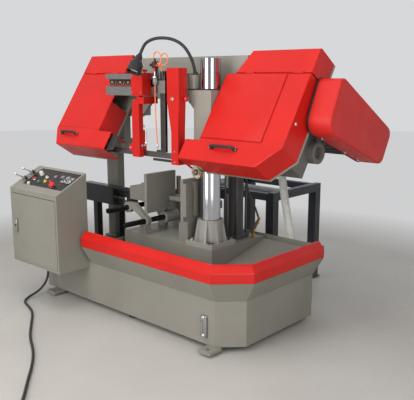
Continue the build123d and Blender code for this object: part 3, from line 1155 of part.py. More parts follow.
# Pulleys with their shafts
with BuildPart() as worm_pulley:
    bar("x", PULLEY_X, WORM_YZ, WORM_PULLEY)
    bar("x", (WORM_SHAFT_X + LID_GAP, PULLEY_X[0]), WORM_YZ, SHAFT_RADIUS)
worm_pulley.part.label = "worm_pulley"
export_step(worm_pulley.part, "parts/worm_pulley.step")

with BuildPart() as motor_pulley:
    bar("x", PULLEY_X, MOTOR_YZ, MOTOR_PULLEY)
    bar("x", (MOTOR_SHAFT_X + LID_GAP, PULLEY_X[0]), MOTOR_YZ, SHAFT_RADIUS)
motor_pulley.part.label = "motor_pulley"
export_step(motor_pulley.part, "parts/motor_pulley.step")


def belt_loop(x, grow):
    """The outline that a belt makes round both pulleys, grown by an amount."""
    with BuildSketch(Plane.YZ.offset(x)) as outline:
        with Locations(WORM_YZ):
            Circle(WORM_PULLEY + grow)
        with Locations(MOTOR_YZ):
            Circle(MOTOR_PULLEY + grow)
        make_hull()
    return outline.sketch


# Drive belts: two endless belts side by side
with BuildPart() as drive_belts:
    for x in BELT_X:
        extrude(belt_loop(x, BLADE_GAP + BELT_THICK), amount=BELT_WIDTH)
        extrude(belt_loop(x, BLADE_GAP), amount=BELT_WIDTH, mode=Mode.SUBTRACT)
drive_belts.part.label = "drive_belts"
export_step(drive_belts.part, "parts/drive_belts.step")

# Guide rail: two bars on a spine, with the holder of the approach bar
HOLDER_X = (BAR_X[0] - HOLDER_WALL, BAR_X[1] + HOLDER_WALL)
with BuildPart() as guide_rail:
    for bar_z in (RAIL_LOW_Z, RAIL_TOP_Z):
        block(RAIL_X, RAIL_Y, bar_z)
    block(RAIL_X, (RAIL_Y[1] - RAIL_SPINE, RAIL_Y[1]), (RAIL_LOW_Z[1], RAIL_TOP_Z[0]))
    block(HOLDER_X, (BAR_Y[0] - HOLDER_WALL, RAIL_Y[0]), HOLDER_Z)
    block((BAR_X[0] - SLIDING, BAR_X[1] + SLIDING), (BAR_Y[0] - SLIDING, BAR_Y[1] + SLIDING), HOLDER_Z,
          Mode.SUBTRACT)
guide_rail.part.label = "guide_rail"
export_step(guide_rail.part, "parts/guide_rail.step")

# Fixed guide arm: tapered box arm with a slot for the blade
ARM_LOW_BACK = JAW_Y[0] - ARM_JAW_GAP
SLOT_TOP = BLADE_Z + BLADE_WIDTH / 2 + LID_GAP
with BuildPart() as fixed_guide_arm:
    prism("y", [(FIXED_ARM_FOOT_X[0], FIXED_ARM_BOTTOM), (FIXED_ARM_FOOT_X[1], FIXED_ARM_BOTTOM),
                (FIXED_ARM_FOOT_X[1], FIXED_ARM_TAPER_Z[0]), (FIXED_ARM_X[1], FIXED_ARM_TAPER_Z[1]),
                (FIXED_ARM_X[1], FIXED_ARM_TOP), (FIXED_ARM_X[0], FIXED_ARM_TOP),
                (FIXED_ARM_X[0], FIXED_ARM_TAPER_Z[1]), (FIXED_ARM_FOOT_X[0], FIXED_ARM_TAPER_Z[0])],
          (ARM_Y[0], ARM_LOW_BACK))
    block(FIXED_ARM_X, (ARM_LOW_BACK, RAIL_Y[0]), (RAIL_LOW_Z[0], FIXED_ARM_TOP))
    block(FIXED_ARM_FOOT_X, (BLADE_Y - BLADE_SLOT, BLADE_Y + BLADE_SLOT), (FIXED_ARM_BOTTOM, SLOT_TOP),
          Mode.SUBTRACT)
fixed_guide_arm.part.label = "fixed_guide_arm"
export_step(fixed_guide_arm.part, "parts/fixed_guide_arm.step")

# Sliding guide arm: block on the rail, long arm and slotted blade guide
with BuildPart() as sliding_guide_arm:
    block(SLIDER_X, (ARM_Y[0], RAIL_Y[0] - SLIDING), SLIDER_Z)
    block(SLIDER_X, (RAIL_Y[0] - SLIDING, RAIL_Y[1]), (RAIL_TOP_Z[1] + SLIDING, SLIDER_Z[1]))
    prism("y", [(SLIDER_ARM_X[0], ARM_BOTTOM), (SLIDER_ARM_X[1], ARM_BOTTOM), (SLIDER_ARM_X[1], SLIDER_Z[0]),
                (SLIDER_NECK[0], SLIDER_Z[0]), SLIDER_NECK[:2], (SLIDER_ARM_X[0], SLIDER_NECK[2])],
          (ARM_Y[0], ARM_Y[0] + SLIDER_PLATE))
    block(GUIDE_X, (ARM_Y[0], ARM_LOW_BACK), GUIDE_Z)
    block((CHEEK_LEFT, SLIDER_ARM_X[1]), (ARM_Y[0], ARM_LOW_BACK), CHEEK_Z)
    block(LIP_X, (ARM_Y[0], RAIL_Y[1]), LIP_Z)
    block(GUIDE_X, (BLADE_Y - BLADE_SLOT, BLADE_Y + BLADE_SLOT), (ARM_BOTTOM, SLOT_TOP),
          Mode.SUBTRACT)
sliding_guide_arm.part.label = "sliding_guide_arm"
export_step(sliding_guide_arm.part, "parts/sliding_guide_arm.step")

# Approach bar: feeler bar that meets the work ahead of the blade
with BuildPart() as approach_bar:
    block(BAR_X, BAR_Y, (BAR_FOOT_Z[0], BAR_TOP))
    block((BAR_FOOT_LEFT, BAR_X[1]), BAR_Y, BAR_FOOT_Z)
approach_bar.part.label = "approach_bar"
export_step(approach_bar.part, "parts/approach_bar.step")


def rod(start, end, radius, mode=Mode.ADD):
    """Add or cut a round rod between two points."""
    way = Vector(end) - Vector(start)
    with BuildSketch(Plane(origin=start, z_dir=way)) as section:
        Circle(radius)
    extrude(section.sketch, amount=way.length, mode=mode)


# Coolant line: valve, sight piece and the tube down to the blade, on a strip beside the holder
COOLANT_FRONT = BAR_Y[0] - HOLDER_WALL
COOLANT_AT = (COOLANT_X, COOLANT_FRONT - COOLANT_STANDOFF)
with BuildPart() as coolant_line:
    block((COOLANT_X - COOLANT_STANDOFF, HOLDER_X[0]), (COOLANT_FRONT, COOLANT_FRONT + HOLDER_WALL),
          (HOLDER_Z[0], COOLANT_VALVE_Z[1]))
    block((COOLANT_X - COOLANT_STANDOFF, COOLANT_X + COOLANT_STANDOFF),
          (COOLANT_FRONT - 2 * COOLANT_STANDOFF, COOLANT_FRONT), COOLANT_VALVE_Z)
    bar("z", COOLANT_SIGHT_Z, COOLANT_AT, COOLANT_STANDOFF)
    bar("z", (COOLANT_SIGHT_Z[1], COOLANT_VALVE_Z[0]), COOLANT_AT, COOLANT_TUBE)
    rod((*COOLANT_AT, COOLANT_SIGHT_Z[0] + COOLANT_STANDOFF), (COOLANT_END[0], COOLANT_AT[1], COOLANT_END[1]),
        COOLANT_TUBE)
coolant_line.part.label = "coolant_line"
export_step(coolant_line.part, "parts/coolant_line.step")


def bend_radii(points):
    """The radius at each corner of a route, as large as its two runs allow."""
    radii = []
    for before, corner, after in zip(points, points[1:], points[2:]):
        first = Vector(corner) - Vector(before)
        second = Vector(after) - Vector(corner)
        turn = math.radians(first.get_angle(second))
        radii.append(BEND_SHARE * min(first.length, second.length) / math.tan(turn / 2))
    return radii


def tube(name, points, radius):
    """Sweep a round tube along straight runs joined by tangent arcs."""
    radii = bend_radii(points)
    with BuildLine() as route:
        FilletPolyline(*points, radius=radii)
    with BuildSketch(Plane(origin=route.line @ 0, z_dir=route.line % 0)) as section:
        Circle(radius)
    path = route.wires()[0]
    sweep(section.sketch, path=path)
    print(name, "bend radii", [round(value) for value in radii], "length", round(path.length))


# Work lamp: switch block, gooseneck and a flared head
LAMP_END = Vector(LAMP_ROUTE[-1])
LAMP_AIM = (LAMP_END - Vector(LAMP_ROUTE[-2])).normalized()
with BuildPart() as work_lamp:
    block(LAMP_BLOCK_X, LAMP_BLOCK_Y, LAMP_BLOCK_Z)
    tube("gooseneck", LAMP_ROUTE, LAMP_NECK)
    for share, radius in zip(LAMP_HEAD_SHARES, LAMP_HEAD_RADII):
        with BuildSketch(Plane(origin=LAMP_END + LAMP_AIM * (LAMP_HEAD_LENGTH * share), z_dir=LAMP_AIM)):
            Circle(radius)
    loft(ruled=True)
work_lamp.part.label = "work_lamp"
export_step(work_lamp.part, "parts/work_lamp.step")

# Wire brush: hub with rows of radial wires
BRUSH_PITCH = (BRUSH_Y[1] - BRUSH_Y[0]) / BRUSH_ROWS
with BuildPart() as wire_brush:
    bar("y", BRUSH_Y, BRUSH_AT, BRUSH_HUB)
    rows = [Plane(origin=(BRUSH_AT[0], BRUSH_Y[0] + (row + 0.5) * BRUSH_PITCH, BRUSH_AT[1]),
                  x_dir=(1, 0, 0), z_dir=(0, 1, 0)) for row in range(BRUSH_ROWS)]
    with Locations(*rows):
        with PolarLocations((BRUSH_HUB + BRUSH_RADIUS - STRAND_SIDE) / 2, BRUSH_STRANDS):
            Box(BRUSH_RADIUS - BRUSH_HUB + STRAND_SIDE, STRAND_SIDE, STRAND_SIDE)
    bar("y", BRUSH_Y, BRUSH_AT, BRUSH_AXLE + RUNNING, Mode.SUBTRACT)
wire_brush.part.label = "wire_brush"
export_step(wire_brush.part, "parts/wire_brush.step")


def hose_plane(share):
    """The section plane of the drain hose at a share of its way down; it swings out as it goes."""
    drop = HOSE_FOOT[2] - HOSE_TOP[2]
    swing = HOSE_FOOT[0] - HOSE_TOP[0]
    centre = (HOSE_TOP[0] + swing * share ** HOSE_SWING, HOSE_TOP[1], HOSE_TOP[2] + drop * share)
    slope = swing * HOSE_SWING * share ** (HOSE_SWING - 1) / drop
    if share in (0, 1):
        slope = 0
    return Plane(origin=centre, x_dir=(0, 1, 0), z_dir=(slope, 0, 1))


# Drain hose: ribbed tube with its bore
HOSE_END_SHARE = 2 * HOSE_RADIUS / (HOSE_TOP[2] - HOSE_FOOT[2])
RIB_SHARE = (1 - 2 * HOSE_END_SHARE) / HOSE_RIBS
with BuildPart() as drain_hose:
    sections = [(0, HOSE_RADIUS - HOSE_RIB)]
    for rib in range(HOSE_RIBS):
        for place, height in RIB_PROFILE:
            sections.append((HOSE_END_SHARE + (rib + place) * RIB_SHARE,
                             HOSE_RADIUS - HOSE_RIB * (1 - height)))
    sections.append((1, HOSE_RADIUS - HOSE_RIB))
    for share, radius in sections:
        with BuildSketch(hose_plane(share)):
            Circle(radius)
    loft(ruled=True)
    for step in range(BORE_STEPS + 1):
        with BuildSketch(hose_plane(step / BORE_STEPS)):
            Circle(HOSE_RADIUS - HOSE_RIB - HOSE_WALL)
    loft(ruled=True, mode=Mode.SUBTRACT)
drain_hose.part.label = "drain_hose"
export_step(drain_hose.part, "parts/drain_hose.step")

# Lift hoses: the hydraulic hose from the lift barrel to the bed, with its end fittings
with BuildPart() as lift_hoses:
    tube("lift hose", LIFT_HOSE_ROUTE, LIFT_HOSE)
    bar("x", (LIFT_AT[0] + LIFT_RADIUS, LIFT_HOSE_ROUTE[0][0] + LIFT_FITTING),
        (LIFT_HOSE_ROUTE[0][1], LIFT_HOSE_ROUTE[0][2] + LIFT_HOSE), LIFT_FITTING)
    rod(LIFT_HOSE_ROUTE[-1], LIFT_ELBOW, LIFT_FITTING)
    rod(LIFT_ELBOW, (*LIFT_UNION, BED_TOP + LIFT_FITTING), LIFT_FITTING)
    bar("z", (BED_TOP, BED_TOP + 2 * LIFT_FITTING), LIFT_UNION, LIFT_FITTING)
    with Locations(LIFT_ELBOW):
        Sphere(LIFT_FITTING)
lift_hoses.part.label = "lift_hoses"
export_step(lift_hoses.part, "parts/lift_hoses.step")


def console(x, v, n):
    """The machine coordinates of a point on the console: across, up the slope and out of it."""
    return CONSOLE_PLANE.from_local_coords((x, v, n))


# Cabinet shell: sheet case with a sloping console, a door opening and the lever posts
CABINET_SIDE = [(CABINET_Y[0], CABINET_Z[0]), (CABINET_Y[1], CABINET_Z[0]), (CABINET_Y[1], CABINET_BACK_TOP),
                (CABINET_Y[0], CABINET_Z[1])]
CHEEK_V = (LEVER_HUB_WIDTH / 2 + SLIDING, LEVER_HUB_WIDTH / 2 + SLIDING + LEVER_CHEEK)
DOOR_AXIS = (DOOR_X[1], CABINET_Y[0] - DOOR_PROUD)
with BuildPart() as cabinet_shell:
    prism("x", CABINET_SIDE, CABINET_X)
    hollow("x", CABINET_SIDE, CABINET_SHEET, (CABINET_X[0] + CABINET_SHEET, CABINET_X[1] - CABINET_SHEET))
    block((DOOR_X[0] - LID_GAP, DOOR_X[1] + LID_GAP), (CABINET_Y[0], CABINET_Y[0] + CABINET_SHEET),
          (DOOR_Z[0] - LID_GAP, DOOR_Z[1] + LID_GAP), Mode.SUBTRACT)
    prism("console", oblong(PANEL_X, PANEL_V), (-2 * CABINET_SHEET, CABINET_SHEET), Mode.SUBTRACT)
    for x in CABINET_BRACKETS_X:
        block((x, x + CHANNEL_POST), (CABINET_Y[1], CABINET_Y[1] + CHANNEL_POST),
              (BODY_TOP, CABINET_BRACKET_TOP))
    for x, v in LEVERS_AT:
        for side in (-1, 1):
            cheek = sorted((v + side * CHEEK_V[0], v + side * CHEEK_V[1]))
            prism("console", oblong((x - LEVER_HUB, x + LEVER_HUB), cheek),
                  (-CABINET_SHEET / 2, LEVER_POST + LEVER_HUB))
        rod(console(x, v - CHEEK_V[1], LEVER_POST), console(x, v + CHEEK_V[1], LEVER_POST),
            LEVER_PIN + RUNNING, Mode.SUBTRACT)
    bar("z", (CABINET_Z[0], CABINET_Z[0] + CABINET_SHEET), GLAND_AT, CORD_RADIUS + LID_GAP, Mode.SUBTRACT)
    for start in DOOR_HINGES_Z:
        hinge_eyes("z", start, DOOR_AXIS, DOOR_KNUCKLE)
cabinet_shell.part.label = "cabinet_shell"
export_step(cabinet_shell.part, "parts/cabinet_shell.step")

# Console panel: black plate under the console's window, with a hole for each control
PANEL_N = (-CABINET_SHEET - PANEL_THICK, -CABINET_SHEET)
CONTROL_HOLES = [(START_AT, BUTTON_STEM), (STOP_AT, BUTTON_STEM), (ESTOP_AT, ESTOP_STEM),
                 (KNOB_AT, BUTTON_STEM)]
with BuildPart() as console_panel:
    prism("console", oblong((PANEL_X[0] - PANEL_LAP, PANEL_X[1] + PANEL_LAP),
                            (PANEL_V[0] - PANEL_LAP, PANEL_V[1] + PANEL_LAP)), PANEL_N)
    for place, radius in CONTROL_HOLES:
        disc("console", place, radius + RUNNING, PANEL_N, Mode.SUBTRACT)
console_panel.part.label = "console_panel"
export_step(console_panel.part, "parts/console_panel.step")

# Cabinet door, hinged at its right edge, and its latch
DOOR_Y = (CABINET_Y[0] - DOOR_PROUD, CABINET_Y[0] - DOOR_PROUD + DOOR_THICK)
with BuildPart() as cabinet_door:
    block(DOOR_X, DOOR_Y, DOOR_Z)
    block((DOOR_X[0] + CABINET_SHEET, DOOR_X[1] - CABINET_SHEET), (DOOR_Y[0] + CABINET_SHEET, DOOR_Y[1]),
          (DOOR_Z[0] + CABINET_SHEET, DOOR_Z[1] - CABINET_SHEET), Mode.SUBTRACT)
    bar("y", DOOR_Y, LATCH_AT, BUTTON_STEM + RUNNING, Mode.SUBTRACT)
    for start in DOOR_HINGES_Z:
        hinge_knuckle("z", start, DOOR_AXIS, DOOR_KNUCKLE)
cabinet_door.part.label = "cabinet_door"
export_step(cabinet_door.part, "parts/cabinet_door.step")

with BuildPart() as door_latch:
    block((LATCH_AT[0] - LATCH_WIDTH / 2, LATCH_AT[0] + LATCH_WIDTH / 2),
          (DOOR_Y[0] - LATCH_REACH, DOOR_Y[0] - SLIDING),
          (LATCH_AT[1] - LATCH_HEIGHT / 2, LATCH_AT[1] + LATCH_HEIGHT / 2))
    bar("y", (DOOR_Y[0] - SLIDING, DOOR_Y[0] + DOOR_THICK), LATCH_AT, BUTTON_STEM)
door_latch.part.label = "door_latch"
export_step(door_latch.part, "parts/door_latch.step")


def console_button(place, stem, head, gap, rise):
    """A push button on the console: its head above the panel and its stem through it."""
    disc("console", place, stem, (PANEL_N[0] - gap, PANEL_N[1] + gap))
    disc("console", place, head, (PANEL_N[1] + gap, PANEL_N[1] + gap + rise))


# Push buttons, mushroom head stop and flow knob
with BuildPart() as start_button:
    console_button(START_AT, BUTTON_STEM, BUTTON_RADIUS, BUTTON_GAP, BUTTON_RISE)
start_button.part.label = "start_button"
export_step(start_button.part, "parts/start_button.step")

with BuildPart() as stop_button:
    console_button(STOP_AT, BUTTON_STEM, BUTTON_RADIUS, BUTTON_GAP, BUTTON_RISE)
stop_button.part.label = "stop_button"
export_step(stop_button.part, "parts/stop_button.step")

with BuildPart() as e_stop:
    console_button(ESTOP_AT, ESTOP_STEM, ESTOP_RADIUS, ESTOP_GAP, ESTOP_HEAD)
    fillet(e_stop.faces().sort_by(CONSOLE_AXIS)[-1].edges(), ESTOP_HEAD / 3)
e_stop.part.label = "e_stop"
export_step(e_stop.part, "parts/e_stop.step")

with BuildPart() as flow_knob:
    console_button(KNOB_AT, BUTTON_STEM, KNOB_RADIUS, SLIDING, KNOB_RISE)
flow_knob.part.label = "flow_knob"
export_step(flow_knob.part, "parts/flow_knob.step")


def valve_lever(place):
    """A valve lever: hub and pin between two cheeks, a leaning rod and a ball."""
    x, v = place
    lean = math.radians(LEVER_LEAN)
    tip = console(x - LEVER_LENGTH * math.sin(lean), v, LEVER_POST + LEVER_LENGTH * math.cos(lean))
    rod(console(x, v - LEVER_HUB_WIDTH / 2, LEVER_POST), console(x, v + LEVER_HUB_WIDTH / 2, LEVER_POST),
        LEVER_HUB)
    rod(console(x, v - CHEEK_V[1], LEVER_POST), console(x, v + CHEEK_V[1], LEVER_POST), LEVER_PIN)
    rod(console(x, v, LEVER_POST), tip, LEVER_ROD)
    with Locations(tip):
        Sphere(LEVER_BALL, rotation=(0, -LEVER_LEAN, 0))


with BuildPart() as lever_a:
    valve_lever(LEVERS_AT[0])
lever_a.part.label = "lever_a"
export_step(lever_a.part, "parts/lever_a.step")

with BuildPart() as lever_b:
    valve_lever(LEVERS_AT[1])
lever_b.part.label = "lever_b"
export_step(lever_b.part, "parts/lever_b.step")

# Cord gland: nut and tapered strain relief under the cabinet
GLAND_NUT = GLAND_LENGTH / 3
with BuildPart() as cord_gland:
    with BuildSketch(Plane.XY.offset(CABINET_Z[0] - GLAND_NUT)):
        with Locations(GLAND_AT):
            RegularPolygon(GLAND_RADII[0], 6)
    extrude(amount=GLAND_NUT)
    for radius, height in ((GLAND_SHOULDER, CABINET_Z[0] - GLAND_NUT), (GLAND_RADII[1], CORD_ROUTE[0][2])):
        with BuildSketch(Plane.XY.offset(height)):
            with Locations(GLAND_AT):
                Circle(radius)
    loft(ruled=True)
cord_gland.part.label = "cord_gland"
export_step(cord_gland.part, "parts/cord_gland.step")

# Power cord: hangs from the gland and lies along the floor
with BuildPart() as power_cord:
    tube("power cord", CORD_ROUTE, CORD_RADIUS)
power_cord.part.label = "power_cord"
export_step(power_cord.part, "parts/power_cord.step")

# Cord coil: the rest of the cord, wound inwards on the floor, up a layer and outwards again
COIL_START = Vector(CORD_ROUTE[-1])
COIL_WAY = (COIL_START - Vector(CORD_ROUTE[-2])).normalized()
COIL_AXIS = COIL_START + Vector(COIL_WAY.Y, -COIL_WAY.X, 0) * COIL_RADIUS
COIL_ANGLE = math.atan2(COIL_START.Y - COIL_AXIS.Y, COIL_START.X - COIL_AXIS.X)
COIL_QUARTERS = 8 * COIL_TURNS + 2


def coil_point(quarters):
    """The middle of the coiled cord after a number of quarter turns."""
    middle = COIL_QUARTERS / 2
    wound = middle - abs(quarters - middle)
    climb = min(max((quarters - middle + 1) / 2, 0), 1)
    radius = COIL_RADIUS - COIL_PITCH * wound / 4
    angle = COIL_ANGLE - quarters * math.pi / 2
    return COIL_AXIS + Vector(radius * math.cos(angle), radius * math.sin(angle), COIL_PITCH * climb)


def coil_way(quarters):
    """The direction of the coiled cord after a number of quarter turns."""
    if quarters == 0:
        return COIL_WAY
    return (coil_point(quarters + COIL_NUDGE) - coil_point(quarters - COIL_NUDGE)).normalized()


def biarc(start, way, end, end_way):
    """Join two points and directions by two tangent arcs."""
    span = end - start
    both = way + end_way
    spread = 2 * (1 - way.dot(end_way))
    reach = (math.sqrt(span.dot(both) ** 2 + spread * span.dot(span)) - span.dot(both)) / spread
    meet_way = (end - end_way * reach) - (start + way * reach)
    meet = start + way * reach + meet_way / 2
    TangentArc(start, meet, tangent=way)
    TangentArc(meet, end, tangent=meet_way)


COIL_END = coil_point(COIL_QUARTERS)
COIL_END_WAY = coil_way(COIL_QUARTERS)
PLUG_START = COIL_END + COIL_END_WAY * (2 * CORD_RADIUS)
with BuildPart() as cord_coil:
    with BuildLine() as coil_route:
        for quarter in range(COIL_QUARTERS):
            biarc(coil_point(quarter), coil_way(quarter), coil_point(quarter + 1), coil_way(quarter + 1))
        Line(COIL_END, PLUG_START)
    with BuildSketch(Plane(origin=COIL_START, z_dir=COIL_WAY)):
        Circle(CORD_RADIUS)
    sweep()
cord_coil.part.label = "cord_coil"
export_step(cord_coil.part, "parts/cord_coil.step")

coil_length = coil_route.wires()[0].length
samples = [coil_route.wires()[0] @ (index / COIL_SAMPLES) for index in range(COIL_SAMPLES + 1)]
apart = int(COIL_SAMPLES * 6 * CORD_RADIUS / coil_length)
nearest = min((samples[first] - samples[second]).length
              for first in range(len(samples)) for second in range(first + apart, len(samples)))
print("coil length", round(coil_length), "least gap", round(nearest - 2 * CORD_RADIUS, 2),
      "volume share", round(cord_coil.part.volume / (math.pi * CORD_RADIUS ** 2 * coil_length), 4))

# Power plug: round industrial plug lying beside the coil
PLUG_RADIUS = CORD_FLOOR + COIL_PITCH
PLUG_PLANE = Plane(origin=PLUG_START, z_dir=COIL_END_WAY)
with BuildPart() as power_plug:
    for share, radius in ((0, CORD_RADIUS + LID_GAP), (PLUG_NECK, CORD_RADIUS + 2 * LID_GAP),
                          (2 * PLUG_NECK, PLUG_RADIUS), (1, PLUG_RADIUS)):
        with BuildSketch(PLUG_PLANE.offset(PLUG_LENGTH * share)):
            Circle(radius)
    loft(ruled=True)
    with BuildSketch(PLUG_PLANE.offset(PLUG_LENGTH)):
        with PolarLocations(PLUG_RADIUS / 2, PLUG_PINS):
            Circle(PLUG_PIN)
    extrude(amount=PLUG_PIN_LENGTH)
power_plug.part.label = "power_plug"
export_step(power_plug.part, "parts/power_plug.step")
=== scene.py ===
"""Looks of a two-column metal band saw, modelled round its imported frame; sizes in mm of the drawing."""
import math

import bpy
from mathutils import Matrix, Vector


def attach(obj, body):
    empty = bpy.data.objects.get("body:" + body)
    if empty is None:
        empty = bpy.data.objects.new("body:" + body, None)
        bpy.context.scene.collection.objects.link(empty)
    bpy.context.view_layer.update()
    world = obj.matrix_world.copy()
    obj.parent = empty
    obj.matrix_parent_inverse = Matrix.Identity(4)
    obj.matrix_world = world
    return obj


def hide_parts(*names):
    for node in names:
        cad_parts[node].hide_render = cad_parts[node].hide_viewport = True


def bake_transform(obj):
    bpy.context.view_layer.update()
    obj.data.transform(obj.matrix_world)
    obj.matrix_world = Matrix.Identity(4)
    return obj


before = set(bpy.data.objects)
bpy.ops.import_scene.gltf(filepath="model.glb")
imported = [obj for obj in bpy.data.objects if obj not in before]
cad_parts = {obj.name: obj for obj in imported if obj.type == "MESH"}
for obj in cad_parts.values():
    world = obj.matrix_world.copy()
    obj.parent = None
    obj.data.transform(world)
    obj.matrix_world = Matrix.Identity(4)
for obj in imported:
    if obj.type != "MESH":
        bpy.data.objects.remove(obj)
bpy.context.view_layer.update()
scene = bpy.context.scene
scene.view_settings.view_transform = "Standard"

MM = 0.001
HERE = Matrix.Identity(4)
TILT = math.radians(33)
SLOPE = math.atan2(115, 222.5)
UP, DOWN, FRONT, RIGHT, LEFT = (0, 0, 1), (0, 0, -1), (0, -1, 0), (1, 0, 0), (-1, 0, 0)
VIEW_TIP, VIEW_TURN = math.radians(78.89), math.radians(42.45)

# The two slanted frames of the machine, the blade wheels' plane and the console's top: s or v runs up the
# slope and n out of it
WHEELS = Matrix(((1, 0, 0, 0),
                 (0, math.sin(TILT), -math.cos(TILT), -0.170),
                 (0, math.cos(TILT), math.sin(TILT), 0.976),
                 (0, 0, 0, 1)))
CONSOLE = Matrix(((1, 0, 0, 0),
                  (0, math.cos(SLOPE), -math.sin(SLOPE), -0.588),
                  (0, math.sin(SLOPE), math.cos(SLOPE), 0.728),
                  (0, 0, 0, 1)))


def mm(x, y, z):
    """A point of the drawing in metres."""
    return Vector((x, y, z)) * MM


def along(start, way):
    """A frame at a point of the drawing whose Z runs along a direction."""
    turn = Vector(way).to_track_quat("Z", "Y").to_matrix().to_4x4()
    return Matrix.Translation(mm(*start)) @ turn


def deselect():
    """Leave nothing selected."""
    bpy.ops.object.select_all(action="DESELECT")


def take(piece):
    """Make one piece the selected and active one."""
    deselect()
    piece.select_set(True)
    bpy.context.view_layer.objects.active = piece


def put(name, data):
    """A new object in the scene."""
    made = bpy.data.objects.new(name, data)
    scene.collection.objects.link(made)
    return made


def place_into_mesh():
    """Put the selected pieces' places into their meshes."""
    bpy.ops.object.transform_apply(location=True, rotation=True, scale=True)


def edit_mesh():
    """Open the active piece's mesh, with all of it selected."""
    bpy.ops.object.mode_set(mode="EDIT")
    bpy.ops.mesh.select_all(action="SELECT")


def close_mesh():
    """Leave the active piece's mesh."""
    bpy.ops.object.mode_set(mode="OBJECT")


def raise_mesh(height):
    """Draw the selection up by a height, and leave that end selected."""
    bpy.ops.mesh.extrude_region_move(TRANSFORM_OT_translate={"value": (0, 0, height * MM)})


def face_outward():
    """Turn the open mesh's faces outward, and leave all of it selected."""
    bpy.ops.mesh.select_all(action="SELECT")
    bpy.ops.mesh.normals_make_consistent(inside=False)


# Camera at the photograph's place
lens = bpy.data.cameras.new("photo_camera")
lens.lens = 54.5
lens.sensor_width = 36
lens.sensor_fit = "HORIZONTAL"
camera = put("photo_camera", lens)
camera.location = (2.744, -2.659, 1.420)
camera.rotation_euler = (VIEW_TIP, 0, VIEW_TURN)
scene.camera = camera


def add_node(tree, kind, links=None, **settings):
    """Add a shader node; links gives each input a socket or a plain value."""
    made = tree.nodes.new("ShaderNode" + kind)
    for key, value in settings.items():
        setattr(made, key, value)
    for key, value in (links or {}).items():
        if isinstance(value, bpy.types.NodeSocket):
            tree.links.new(value, made.inputs[key])
        else:
            made.inputs[key].default_value = value
    return made


def shade(colour, level):
    """A colour made lighter or darker."""
    return (*(min(part * level, 1) for part in colour), 1)


def blank_finish(name):
    """A material with a shader, and the object coordinates that its patterns lie on."""
    finish = bpy.data.materials.new(name)
    finish.use_nodes = True
    tree = finish.node_tree
    tree.nodes.clear()
    shader = add_node(tree, "BsdfPrincipled")
    add_node(tree, "OutputMaterial", {"Surface": shader.outputs["BSDF"]})
    where = add_node(tree, "TexCoord").outputs["Object"]
    return finish, tree, shader, where


def noise(tree, where, scale, detail=3.0):
    """A cloud pattern from 0 to 1."""
    made = add_node(tree, "TexNoise", {"Vector": where, "Scale": scale, "Detail": detail, "Roughness": 0.58})
    return made.outputs["Fac"]


def spread(tree, value, low, high, start, end):
    """Stretch a pattern's range onto another."""
    made = add_node(tree, "MapRange", {"Value": value, "From Min": low, "From Max": high,
                                       "To Min": start, "To Max": end})
    return made.outputs["Result"]


def blended(tree, share, first, second):
    """Mix two colours by a pattern."""
    return add_node(tree, "MixRGB", {"Fac": share, "Color1": first, "Color2": second}).outputs["Color"]


def times(tree, first, second):
    """The product of two patterns."""
    return add_node(tree, "Math", {0: first, 1: second}, operation="MULTIPLY").outputs["Value"]


def sight_rays(tree):
    """1 for the rays that show the background: seen straight, mirrored or through glass."""
    kind = add_node(tree, "LightPath").outputs
    seen = kind["Is Camera Ray"]
    for other in ("Is Glossy Ray", "Is Transmission Ray"):
        seen = add_node(tree, "Math", {0: seen, 1: kind[other]}, operation="MAXIMUM").outputs["Value"]
    return seen


def patchy(tree, where, value, scale, low, high, least):
    """A pattern broken up by clouds."""
    return times(tree, value, spread(tree, noise(tree, where, scale), low, high, least, 1))


